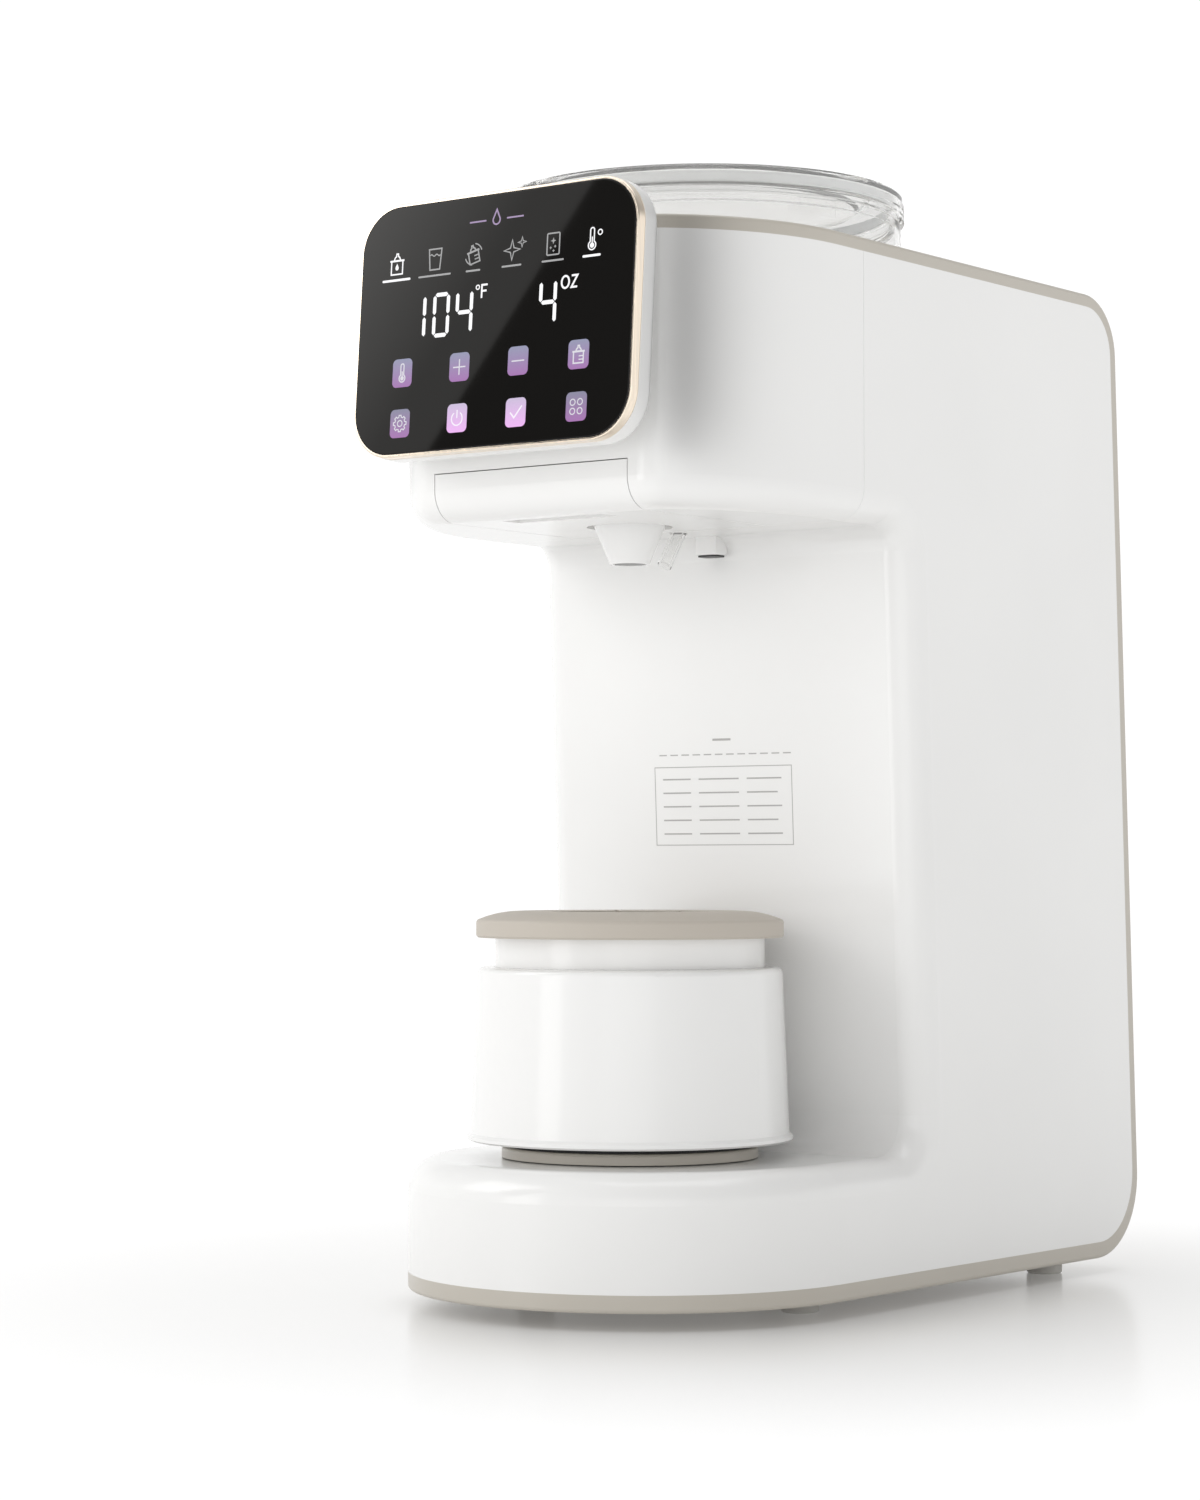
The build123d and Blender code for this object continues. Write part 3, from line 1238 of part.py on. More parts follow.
def main():
    os.makedirs("parts", exist_ok=True)
    outer = c_form(0, WHITE_TOP_Z, WHITE_BOTTOM_Z, COLUMN_BACK_Y)
    cavity = c_form(WALL, WHITE_TOP_Z + 40, WHITE_BOTTOM_Z - 40, COLUMN_BACK_Y + 60)
    form = outer_form()

    export(make_body_shell(outer, cavity), "body_shell")
    export(make_head_front_shell(outer, cavity), "head_front_shell")
    export(make_top_deck(form), "top_deck")
    export(make_rear_cover(form), "rear_cover")
    export(make_base_plate(form), "base_plate")
    export(make_rubber_feet(), "rubber_feet")
    export(make_case_screws(), "case_screws")

    housing, bezel, glass, board = make_display()
    export(housing, "display_housing")
    export(bezel, "display_bezel")
    export(glass, "display_glass")
    export(board, "display_board")

    export(make_funnel_drawer(outer), "funnel_drawer")
    export(make_powder_nozzle(), "powder_nozzle")
    export(make_drawer_rails(), "drawer_rails")
    export(make_water_spout(), "water_spout")
    export(make_sensor_pod(), "sensor_pod")
    export(make_sensor_window(), "sensor_window")

    export(make_hopper(), "hopper")
    export(make_hopper_lid(), "hopper_lid")
    export(make_lid_seal(), "lid_seal")
    export(make_dosing_cover(), "dosing_cover")
    export(make_spindle(), "spindle")
    export(make_spindle_coupler(), "spindle_coupler")
    export(make_dosing_wheel(), "dosing_wheel")
    export(make_stirrer(), "stirrer")

    export(make_drive_gear(), "drive_gear")
    export(make_drive_dog(), "drive_dog")
    export(make_motor_pinion(), "motor_pinion")
    export(make_dosing_motor(), "dosing_motor")
    export(make_drive_plate(), "drive_plate")
    export(make_powder_chute(), "powder_chute")

    export(make_water_tank(), "water_tank")
    export(make_tank_lid(), "tank_lid")
    export(make_tank_valve(), "tank_valve")
    export(make_valve_seal(), "valve_seal")
    export(make_valve_spring(), "valve_spring")
    export(make_tank_shelf(), "tank_shelf")
    export(make_tank_dock(), "tank_dock")

    export(make_water_pump(), "water_pump")
    export(make_water_heater(), "water_heater")
    tank_hose, pump_hose, spout_hose = make_hoses()
    export(tank_hose, "tank_hose")
    export(pump_hose, "pump_hose")
    export(spout_hose, "spout_hose")
    export(make_control_board(), "control_board")
    export(make_board_standoffs(), "board_standoffs")
    export(make_power_supply(), "power_supply")
    export(make_power_inlet(), "power_inlet")

    export(make_turntable(), "turntable")
    export(make_turntable_bearing(), "turntable_bearing")
    export(pulley(0, AXIS_Y, PULLEY_R, TURNTABLE_SHAFT_R), "turntable_pulley")
    export(make_shaker_belt(), "shaker_belt")
    export(make_motor_pulley(), "motor_pulley")
    export(make_shaker_motor(), "shaker_motor")
    export(make_motor_bracket(), "motor_bracket")

    export(make_holder_skirt(), "holder_skirt")
    export(make_holder_foot(), "holder_foot")
    export(make_holder_cup(), "holder_cup")
    export(make_holder_ring(), "holder_ring")


if __name__ == "__main__":
    main()
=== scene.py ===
"""Looks of the countertop formula dispenser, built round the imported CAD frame.

Everything is in metres in the frame of the part: +Z up, the display facing -Y.
Marks on the display and on the column are drawn in millimetres on their own face.
"""

import json
from math import cos, pi, radians, sin

import bmesh
import bpy
from mathutils import Matrix, Vector


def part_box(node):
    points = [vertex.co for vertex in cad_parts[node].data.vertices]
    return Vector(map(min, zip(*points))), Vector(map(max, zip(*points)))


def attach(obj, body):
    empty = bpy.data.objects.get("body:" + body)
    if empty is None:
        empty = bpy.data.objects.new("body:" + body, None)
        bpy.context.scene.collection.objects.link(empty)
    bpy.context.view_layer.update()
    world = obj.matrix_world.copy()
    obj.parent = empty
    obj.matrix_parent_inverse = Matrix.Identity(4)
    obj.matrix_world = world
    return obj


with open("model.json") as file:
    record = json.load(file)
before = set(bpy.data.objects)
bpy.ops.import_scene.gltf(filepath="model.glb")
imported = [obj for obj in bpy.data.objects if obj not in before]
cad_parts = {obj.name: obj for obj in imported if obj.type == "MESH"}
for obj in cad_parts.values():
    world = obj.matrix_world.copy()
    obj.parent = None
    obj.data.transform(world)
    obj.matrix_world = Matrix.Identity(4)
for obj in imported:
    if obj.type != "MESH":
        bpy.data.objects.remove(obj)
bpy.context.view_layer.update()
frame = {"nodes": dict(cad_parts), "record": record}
NODES = frame["nodes"]

MM = 0.001
PURE_WHITE = 1.06                      # strength at which the backdrop renders pure white
UNIT = (0.0, 1.0)


def middle(name):
    low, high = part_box(name)
    return (Vector(low) + Vector(high)) / 2


# ---------------------------------------------------------------- camera
AXIS = middle("turntable")             # the bottle stands over this point
CAMERA_REACH = 1.4373                  # from the bottle's axis to the camera, on plan
CAMERA_AZIMUTH = radians(36.56)
CAMERA_HEIGHT = 0.1696
CAMERA_YAW = radians(37.03)
CAMERA_PITCH = radians(1.93)
LENS_MM = 87.53
SENSOR_MM = 36
NEAR_CLIP = 0.05


def make_camera():
    data = bpy.data.cameras.new("camera")
    data.lens = LENS_MM
    data.sensor_width = SENSOR_MM
    data.sensor_fit = "AUTO"
    data.clip_start = NEAR_CLIP
    camera = bpy.data.objects.new("camera", data)
    camera.location = (
        AXIS.x + CAMERA_REACH * sin(CAMERA_AZIMUTH),
        AXIS.y - CAMERA_REACH * cos(CAMERA_AZIMUTH),
        CAMERA_HEIGHT,
    )
    camera.rotation_euler = (pi / 2 + CAMERA_PITCH, 0, CAMERA_YAW)
    bpy.context.scene.collection.objects.link(camera)
    bpy.context.scene.camera = camera


# ---------------------------------------------------------------- shader nodes
def node(tree, kind, operation=None, **inputs):
    """New shader node with its inputs set, by name or as i0, i1: a value, or a socket to link from."""
    made = tree.nodes.new(kind)
    if operation:
        made.operation = operation
    for name, value in inputs.items():
        by_number = name[0] == "i" and name[1:].isdigit()
        socket = made.inputs[int(name[1:]) if by_number else name]
        if isinstance(value, bpy.types.NodeSocket):
            tree.links.new(value, socket)
        else:
            socket.default_value = value
    return made


def rgba(color):
    return (*color, 1.0)


def shader(name, **inputs):
    """Material with a Principled shader; returns the material, its tree and the shader."""
    material = bpy.data.materials.new(name)
    material.use_nodes = True
    tree = material.node_tree
    principled = tree.nodes["Principled BSDF"]
    for key, value in inputs.items():
        principled.inputs[key.replace("_", " ")].default_value = value
    return material, tree, principled


def show(tree, surface):
    """Make a socket the surface of its material."""
    tree.links.new(surface, tree.nodes["Material Output"].inputs["Surface"])


def coordinates(tree, kind="Object"):
    return tree.nodes.new("ShaderNodeTexCoord").outputs[kind]


def axis_of(tree, axis, kind="Object"):
    return node(tree, "ShaderNodeSeparateXYZ", Vector=coordinates(tree, kind)).outputs[axis]


def noise(tree, scale, detail, where=None):
    """Noise pattern from 0 to 1, over the object unless other coordinates are given."""
    where = where or coordinates(tree)
    return node(tree, "ShaderNodeTexNoise", Vector=where, Scale=scale, Detail=detail).outputs["Fac"]


def ramp(tree, fac, low, high, start=0.3, end=0.7):
    """Colour ramp between two colours."""
    made = node(tree, "ShaderNodeValToRGB", Fac=fac)
    for stop, position, color in zip(made.color_ramp.elements, (start, end), (low, high)):
        stop.position = position
        stop.color = rgba(color)
    return made.outputs["Color"]


def remap(tree, value, source, target, smooth=False):
    """Map a value from one range to another."""
    made = node(tree, "ShaderNodeMapRange", Value=value)
    if smooth:
        made.interpolation_type = "SMOOTHSTEP"
    for name, level in zip(("From Min", "From Max", "To Min", "To Max"), (*source, *target)):
        made.inputs[name].default_value = level
    return made.outputs["Result"]


def dimmed(tree, color, share):
    """Colour scaled by a share: a number, or a socket."""
    return node(tree, "ShaderNodeVectorMath", "SCALE", i0=color, Scale=share).outputs["Vector"]


# ---------------------------------------------------------------- materials
def vary(tree, out, color, roughness, shade, gloss, bump, cloud, sheen, height):
    """Vary a shader's colour by cloud, its roughness by sheen and its relief by height.

    shade is the share left of the colour where it is darkest, gloss the shares of the roughness
    at both ends, and bump the relief's strength and depth.
    """
    tree.links.new(ramp(tree, cloud, [c * shade for c in color], color), out.inputs["Base Color"])
    low, high = gloss
    tree.links.new(remap(tree, sheen, UNIT, (roughness * low, roughness * high)), out.inputs["Roughness"])
    strength, depth = bump
    relief = node(tree, "ShaderNodeBump", Strength=strength, Distance=depth, Height=height)
    tree.links.new(relief.outputs["Normal"], out.inputs["Normal"])


def moulded(name, color, roughness, grain, grain_depth, coat=0.0, coat_roughness=0.1, **more):
    """Moulded plastic: faint mottling, uneven gloss and a fine surface grain."""
    material, tree, out = shader(name, Coat_Weight=coat, Coat_Roughness=coat_roughness, **more)
    vary(
        tree, out, color, roughness, shade=0.972, gloss=(0.86, 1.14), bump=(grain_depth, 0.0002),
        cloud=noise(tree, 9.0, 4.0), sheen=noise(tree, 34.0, 5.0), height=noise(tree, grain, 2.0),
    )
    return material


def metal(name, color, roughness, brushed=(1, 1, 1)):
    """Metal with a fine finish, drawn out along the axis whose share in brushed is small."""
    material, tree, out = shader(name, Metallic=1.0)
    stretch = node(tree, "ShaderNodeMapping", Vector=coordinates(tree), Scale=brushed)
    lines = noise(tree, 700.0, 3.0, stretch.outputs["Vector"])
    vary(
        tree, out, color, roughness, shade=0.9, gloss=(0.8, 1.3), bump=(0.05, 0.0001),
        cloud=lines, sheen=lines, height=lines,
    )
    return material


def clear(name, tint, roughness, milk, ior):
    """Clear moulded plastic with faint flow marks; milk is its share of white haze."""
    material, tree, out = shader(name, IOR=ior, Transmission_Weight=1.0 - milk)
    vary(
        tree, out, tint, roughness, shade=0.985, gloss=(0.6, 1.6), bump=(0.03, 0.0003),
        cloud=noise(tree, 14.0, 3.0), sheen=noise(tree, 30.0, 4.0), height=noise(tree, 60.0, 2.0),
    )
    return material


UNLIT_SHARE = 0.12                     # how much of a lit print's colour shows by plain room light
DOT_GRAIN = (0.93, 1.05)               # how far its fine dots dim and brighten it


def glowing(name, low, high, strength, bottom, top):
    """Lit print: a vertical colour change between two heights, with a fine dot grain."""
    material, tree, out = shader(name, Roughness=0.35)
    height = remap(tree, axis_of(tree, "Z"), (bottom, top), UNIT)
    color = ramp(tree, height, low, high, *UNIT)
    grained = dimmed(tree, color, remap(tree, noise(tree, 2600.0, 1.0), UNIT, DOT_GRAIN))
    tree.links.new(dimmed(tree, grained, UNLIT_SHARE), out.inputs["Base Color"])
    tree.links.new(grained, out.inputs["Emission Color"])
    out.inputs["Emission Strength"].default_value = strength
    return material


def matt_black(name):
    return shader(name, Base_Color=rgba((0.01, 0.01, 0.01)), Roughness=1.0)[0]


WHITE = (0.86, 0.857, 0.846)
GREIGE = (0.52, 0.485, 0.425)
SILICONE_GREIGE = (0.52, 0.475, 0.415)

MATERIALS = {
    "gloss_white": moulded("gloss_white", WHITE, 0.22, grain=1400.0, grain_depth=0.012, coat=0.4),
    "greige_plastic": moulded(
        "greige_plastic", GREIGE, 0.36, grain=2600.0, grain_depth=0.04, coat=0.2, coat_roughness=0.15,
    ),
    "greige_silicone": moulded("greige_silicone", SILICONE_GREIGE, 0.58, grain=3200.0, grain_depth=0.05),
    "grey_rubber": moulded("grey_rubber", (0.6, 0.59, 0.56), 0.55, grain=1500.0, grain_depth=0.15),
    "black_rubber": moulded("black_rubber", (0.02, 0.02, 0.02), 0.7, grain=1500.0, grain_depth=0.2),
    "champagne_metal": metal("champagne_metal", (0.9, 0.79, 0.66), 0.17, brushed=(1, 1, 0.05)),
    "black_glass": moulded(
        "black_glass", (0.0085, 0.008, 0.0075), 0.03, grain=20.0, grain_depth=0.0, IOR=1.27,
    ),
    "clear_plastic": clear("clear_plastic", (1.0, 1.0, 0.995), 0.04, milk=0.1, ior=1.08),
    "steel": metal("steel", (0.62, 0.62, 0.63), 0.3, brushed=(1, 1, 0.04)),
    "motor_steel": metal("motor_steel", (0.5, 0.51, 0.53), 0.35, brushed=(0.1, 0.1, 1)),
    "heater_aluminium": metal("heater_aluminium", (0.78, 0.78, 0.79), 0.34, brushed=(1, 1, 0.05)),
    "brass_gear": metal("brass_gear", (0.78, 0.6, 0.3), 0.28),
    "circuit_board": moulded("circuit_board", (0.03, 0.17, 0.08), 0.4, grain=500.0, grain_depth=0.3),
    "grey_plastic": moulded("grey_plastic", (0.4, 0.4, 0.41), 0.5, grain=2200.0, grain_depth=0.08),
    "black_plastic": moulded("black_plastic", (0.025, 0.025, 0.025), 0.4, grain=2200.0, grain_depth=0.1),
    "white_nylon": moulded("white_nylon", (0.84, 0.84, 0.82), 0.42, grain=2200.0, grain_depth=0.05),
    "clear_silicone": moulded("clear_silicone", (0.8, 0.81, 0.81), 0.35, grain=900.0, grain_depth=0.05),
}
PRINT_GREY = moulded("print_grey", (0.42, 0.41, 0.4), 0.5, grain=2600.0, grain_depth=0.02)


def dress_nodes():
    """Give every CAD node the material of its slot."""
    for part in frame["record"]["subparts"]:
        piece = NODES[part["node"]]
        piece.data.materials.clear()
        piece.data.materials.append(MATERIALS[part["material_slot"]])


# ---------------------------------------------------------------- flat marks on a face
class Face:
    """A flat face of the machine: marks are drawn on it in millimetres, u to the right and v up."""

    def __init__(self, origin, upward, outward):
        self.origin = Vector(origin)
        self.up = Vector(upward).normalized()
        self.out = Vector(outward).normalized()
        self.right = self.up.cross(self.out)

    def at(self, u, v, lift):
        return self.origin + (self.right * u + self.up * v + self.out * lift) * MM


LIFT = 0.06                            # how far most marks stand proud, and how deep all are set
CURVE_STEPS = 28
SHARPEST_MITER = 0.25                  # limits how far a stroke's corner reaches out


class Marks:
    """Thin closed raised shapes gathered into one mesh."""

    def __init__(self, face, place=(0, 0), turn=0.0, lift=LIFT):
        self.face = face
        self.mesh = bmesh.new()
        self.lift = lift
        self.move(place, turn)

    def move(self, place, turn=0.0):
        """Draw the next shapes round another point, turned by some degrees."""
        self.place = Vector(place)
        self.spin = Matrix.Rotation(radians(turn), 2)
        return self

    def ring_of(self, points, lift):
        flat = [self.place + self.spin @ Vector(p) for p in points]
        return [self.mesh.verts.new(self.face.at(p.x, p.y, lift)) for p in flat]

    def fill(self, points):
        """Filled shape with a convex or gently concave outline."""
        front = self.ring_of(points, self.lift)
        back = self.ring_of(points, -LIFT)
        self.mesh.faces.new(front)
        self.mesh.faces.new(list(reversed(back)))
        for i, low in enumerate(back):
            j = (i + 1) % len(back)
            self.mesh.faces.new((low, back[j], front[j], front[i]))

    def line(self, points, width, closed=False):
        """Stroke of even width along points."""
        points = [Vector(p) for p in points]
        count = len(points)
        left, right = [], []
        for i, here in enumerate(points):
            before = points[i - 1] if closed or i else None
            after = points[(i + 1) % count] if closed or i < count - 1 else None
            runs = [b - a for a, b in ((before, here), (here, after)) if a is not None and b is not None]
            normals = [Vector((-r.y, r.x)).normalized() for r in runs]
            miter = sum(normals, Vector((0, 0)))
            miter = miter / max(miter.dot(normals[0]), SHARPEST_MITER)
            left.append(here + miter * width / 2)
            right.append(here - miter * width / 2)
        bands = [self.ring_of(left, self.lift), self.ring_of(right, self.lift),
                 self.ring_of(right, -LIFT), self.ring_of(left, -LIFT)]
        for i in range(count if closed else count - 1):
            j = (i + 1) % count
            for a, b in zip(bands, bands[1:] + bands[:1]):
                self.mesh.faces.new((a[i], a[j], b[j], b[i]))
        if not closed:
            self.mesh.faces.new([band[0] for band in bands])
            self.mesh.faces.new([band[-1] for band in reversed(bands)])

    def ring(self, centre, radius, width):
        self.line(circle(centre, radius), width, closed=True)

    def finish(self, name, material, body="housing"):
        """Turn the shapes into a piece that rides with a body."""
        bmesh.ops.recalc_face_normals(self.mesh, faces=self.mesh.faces)
        data = bpy.data.meshes.new(name)
        self.mesh.to_mesh(data)
        self.mesh.free()
        piece = bpy.data.objects.new(name, data)
        data.materials.append(material)
        bpy.context.scene.collection.objects.link(piece)
        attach(piece, body)
        return piece


def arc(centre, radius, start, end):
    """Points along an arc, angles in degrees."""
    angles = [radians(start + (end - start) * i / CURVE_STEPS) for i in range(CURVE_STEPS + 1)]
    return [(centre[0] + radius * cos(a), centre[1] + radius * sin(a)) for a in angles]


def circle(centre, radius):
    return arc(centre, radius, 0, 360)[:-1]


def rounded(half_width, half_height, radius):
    """Outline of a rounded rectangle about the origin."""
    across, up = half_width - radius, half_height - radius
    corners = ((across, up, 0), (-across, up, 90), (-across, -up, 180), (across, -up, 270))
    return [p for x, y, start in corners for p in arc((x, y), radius, start, start + 90)]


def star(points, outer, inner):
    """Star outline with curved-in sides."""
    tips = [(outer if i % 2 == 0 else inner, pi * i / points + pi / 2) for i in range(2 * points)]
    return [(r * cos(a), r * sin(a)) for r, a in tips]


def scaled(points, scale):
    return [(x * scale, y * scale) for x, y in points]


def mirrored(points):
    """Points of the left half that matches a right half, in the opposite order."""
    return [(-x, y) for x, y in reversed(points)]


# ---------------------------------------------------------------- the display
SCREEN_TILT = radians(4.2)             # how far the display looks up
GLASS_THICKNESS = 1.8 * MM
SCREEN_OUT = Vector((0, -cos(SCREEN_TILT), sin(SCREEN_TILT)))
SCREEN_UP = Vector((0, sin(SCREEN_TILT), cos(SCREEN_TILT)))
SCREEN = Face(middle("display_glass") + SCREEN_OUT * GLASS_THICKNESS / 2, SCREEN_UP, SCREEN_OUT)

KEY_U = (-43.0, -14.8, 13.5, 42.0)
KEY_V = (-17.0, -36.6)
KEY_HALF_W = 4.8
KEY_HALF_H = 5.5
KEY_R = 2.0
SYMBOL_LIFT = 0.12
SYMBOL_LINE = 0.5
THIN_SYMBOL_LINE = 0.8 * SYMBOL_LINE


def key_glow(name, row_v, low, high, strength):
    """Glow whose colour changes from the bottom to the top of a row of keys."""
    bottom = SCREEN.at(0, row_v - KEY_HALF_H, 0).z
    top = SCREEN.at(0, row_v + KEY_HALF_H, 0).z
    return glowing(name, low, high, strength, bottom, top)


def flat_glow(name, color, strength):
    return glowing(name, color, color, strength, *UNIT)


LIT_WHITE = flat_glow("lit_white", (0.9, 0.9, 0.92), 1.0)
DIM_WHITE = flat_glow("dim_white", (0.75, 0.75, 0.76), 0.35)
SYMBOL_LIT = flat_glow("symbol_lit", (0.93, 0.88, 0.97), 0.85)
SYMBOL_DIM = flat_glow("symbol_dim", (0.75, 0.74, 0.8), 0.8)
PLAIN_KEYS = (
    key_glow("plain_key_upper", KEY_V[0], (0.31, 0.13, 0.37), (0.24, 0.25, 0.37), 1.0),
    key_glow("plain_key_lower", KEY_V[1], (0.32, 0.13, 0.37), (0.2, 0.2, 0.29), 1.0),
)
BRIGHT_KEY = key_glow("bright_key", KEY_V[1], (0.82, 0.43, 0.86), (0.56, 0.47, 0.66), 0.9)
SOFT_LILAC = flat_glow("soft_lilac", (0.5, 0.36, 0.62), 0.6)

ICON_V = 26.0
ICON_LINE = 0.55
THIN_ICON_LINE = 0.8 * ICON_LINE
CAPTION_V = 19.7
LIT_CAPTION = (0.45, 0.441)            # a caption is a bar: half its height, and its corner radius
DIM_CAPTION = (0.36, 0.351)
ICONS = {                              # name: middle, half the width of its caption bar
    "bottle": (-48.3, 7.0),
    "glass": (-29.3, 8.0),
    "shaker": (-10.4, 3.5),
    "sparkle": (8.2, 4.7),
    "packet": (27.8, 5.2),
    "thermometer": (46.0, 4.2),
}
LIT_ICONS = ("bottle", "thermometer")

BOTTLE_BODY = [(-2.8, 1.0), (-2.8, -4.0), (2.8, -4.0), (2.8, 1.0)]
BOTTLE_COLLAR = [(-3.5, 1.3), (3.5, 1.3)]
TEAT_RIGHT = [(0.4, 4.0), (0.5, 3.0), (1.1, 2.6), (1.6, 1.5)]
DROP_TIP = [(0, 0.2)]
DROP_RIGHT = [(0.7, -1.1), (0.8, -1.8), (0.4, -2.4)]
BULB = (0, -2.4)


def icon_at(name, shift=(0, 0)):
    return ICONS[name][0] + shift[0], ICON_V + shift[1]


def draw_bottle(marks, scale=1.0, drop=True):
    """Feeding bottle: body, collar and teat; with a drop or with a scale inside."""
    marks.line(scaled(BOTTLE_BODY, scale), ICON_LINE)
    marks.line(scaled(BOTTLE_COLLAR, scale), ICON_LINE * 1.3)
    marks.line(scaled(mirrored(TEAT_RIGHT) + TEAT_RIGHT, scale), ICON_LINE)
    if drop:
        marks.fill(scaled(DROP_TIP + DROP_RIGHT + mirrored(DROP_RIGHT), scale))
    else:
        for v in (-0.8, -2.4):
            marks.line(scaled([(0.2, v), (2.8, v)], scale), THIN_ICON_LINE)


def draw_thermometer(marks, scale=1.0):
    outline = arc((0, 3.3), 0.9, 0, 180) + arc(BULB, 1.7, 122, 418)
    marks.line(scaled(outline, scale), ICON_LINE * 0.9, closed=True)
    marks.fill(scaled(circle(BULB, 1.0), scale))
    marks.line(scaled([(0, -2.0), (0, 0.8)], scale), ICON_LINE * 0.9)


def draw_captions(marks, names, bar):
    for name in names:
        u, half_width = ICONS[name]
        marks.move((u, CAPTION_V)).fill(rounded(half_width, *bar))


def make_lit_icons():
    """The two function icons that are lit, each over a caption bar."""
    marks = Marks(SCREEN)
    draw_bottle(marks.move(icon_at("bottle")))
    draw_thermometer(marks.move(icon_at("thermometer")))
    marks.ring((3.6, 2.2), 0.95, 0.45)
    draw_captions(marks, LIT_ICONS, LIT_CAPTION)
    marks.finish("status_icons_lit", LIT_WHITE)


def make_dim_icons():
    """The four dim function icons, each over a caption bar."""
    marks = Marks(SCREEN)
    glass = [(-3.1, 4.0), (-2.4, -4.0), (2.4, -4.0), (3.1, 4.0)]
    marks.move(icon_at("glass")).line(glass, ICON_LINE, closed=True)
    wave = [(-2.5 + 5.0 * i / 16, 1.6 + 0.35 * sin(i * pi / 4)) for i in range(17)]
    marks.line(wave, THIN_ICON_LINE)
    draw_bottle(marks.move(icon_at("shaker"), 14.0), 0.86, drop=False)
    marks.move(icon_at("shaker"))
    for start in (200, 20):
        marks.line(arc((0, 0), 4.1, start, start + 62), THIN_ICON_LINE)
    marks.move(icon_at("sparkle", (0, -0.3))).line(star(4, 3.9, 1.15), ICON_LINE * 0.9, closed=True)
    marks.move(icon_at("sparkle", (4.7, 2.3))).line(star(4, 2.0, 0.6), ICON_LINE * 0.7, closed=True)
    marks.move(icon_at("packet")).line(rounded(2.9, 4.1, 0.5), ICON_LINE, closed=True)
    marks.move(icon_at("packet", (0, 1.2))).fill(star(4, 1.3, 0.45))
    for shift in ((-1.2, -1.4), (0.9, -1.0), (0.2, -2.6)):
        marks.move(icon_at("packet", shift)).fill(star(4, 0.6, 0.3))
    draw_captions(marks, [name for name in ICONS if name not in LIT_ICONS], DIM_CAPTION)
    marks.finish("status_icons_dim", DIM_WHITE)


DIGIT_BOTTOM = -4.6
DIGIT_TOP = 12.7
BAR = 1.55                             # width of a digit's bar
BAR_GAP = 0.25                         # left open at each end of a bar
BARS = {"0": "abcdef", "1": "bc", "4": "fgbc"}
TEMPERATURE = ((-40.6, -32.6, "1"), (-29.2, -21.0, "0"), (-18.0, -9.6, "4"))  # left edge, right edge, digit
VOLUME = ((22.2, 30.5, "4"),)
UNIT_LINE = 0.75


def draw_digit(marks, left, right, digit):
    """Seven-bar digit between two edges."""
    middle_v = (DIGIT_BOTTOM + DIGIT_TOP) / 2
    x0, x1 = left + BAR / 2, right - BAR / 2
    y0, y2 = DIGIT_BOTTOM + BAR / 2, DIGIT_TOP - BAR / 2
    ends = {
        "a": ((x0, y2), (x1, y2)), "g": ((x0, middle_v), (x1, middle_v)), "d": ((x0, y0), (x1, y0)),
        "f": ((x0, middle_v), (x0, y2)), "b": ((x1, middle_v), (x1, y2)),
        "e": ((x0, y0), (x0, middle_v)), "c": ((x1, y0), (x1, middle_v)),
    }
    for bar in BARS[digit]:
        a, b = (Vector(p) for p in ends[bar])
        along = (b - a).normalized()
        side = Vector((-along.y, along.x)) * BAR / 2
        a, b = a + along * BAR_GAP, b - along * BAR_GAP
        inner_a, inner_b = a + along * BAR / 2, b - along * BAR / 2
        marks.fill([a, inner_a - side, inner_b - side, b, inner_b + side, inner_a + side])


def draw_degree_f(marks):
    marks.ring((-7.6, 13.0), 0.8, 0.45)
    marks.line([(-5.6, 8.7), (-5.6, 13.7), (-2.9, 13.7)], UNIT_LINE)
    marks.line([(-5.6, 11.4), (-3.3, 11.4)], UNIT_LINE)


def draw_oz(marks):
    oval = [(34.3 + x, 10.9 + 1.3 * y) for x, y in circle((0, 0), 1.75)]
    marks.line(oval, UNIT_LINE, closed=True)
    marks.line([(37.2, 13.1), (39.9, 13.1), (37.2, 8.7), (39.9, 8.7)], UNIT_LINE)


def make_readout(name, digits, draw_units):
    """Row of lit digits with its unit marks."""
    marks = Marks(SCREEN)
    for left, right, digit in digits:
        draw_digit(marks, left, right, digit)
    draw_units(marks)
    marks.finish(name, LIT_WHITE)


def draw_gear(marks):
    teeth = []
    for i in range(8):
        for turn, radius in ((-14, 2.5), (-9, 3.2), (9, 3.2), (14, 2.5)):
            angle = radians(45 * i + turn)
            teeth.append((radius * cos(angle), radius * sin(angle)))
    marks.line(teeth, THIN_SYMBOL_LINE, closed=True)
    marks.ring((0, 0), 1.15, THIN_SYMBOL_LINE)


def draw_power(marks):
    marks.line(arc((0, -0.2), 2.6, 125, 415), SYMBOL_LINE)
    marks.line([(0, 0.0), (0, 3.1)], SYMBOL_LINE)


def draw_minus(marks):
    marks.line([(-3, 0), (3, 0)], SYMBOL_LINE)


def draw_plus(marks):
    """The upright stops short of the bar, so no two faces of the mark cross."""
    draw_minus(marks)
    for side in (1, -1):
        marks.line([(0, 0.3 * side), (0, 3 * side)], SYMBOL_LINE)


def draw_tick(marks):
    marks.line([(-2.6, 0.1), (-0.7, -2.0), (2.9, 2.4)], SYMBOL_LINE * 1.2)


def draw_four_rings(marks):
    for u in (-1.7, 1.7):
        for v in (-1.7, 1.7):
            marks.ring((u, v), 1.15, THIN_SYMBOL_LINE)


def draw_small_thermometer(marks):
    draw_thermometer(marks, 0.85)


def draw_small_bottle(marks):
    draw_bottle(marks, 0.82, drop=False)


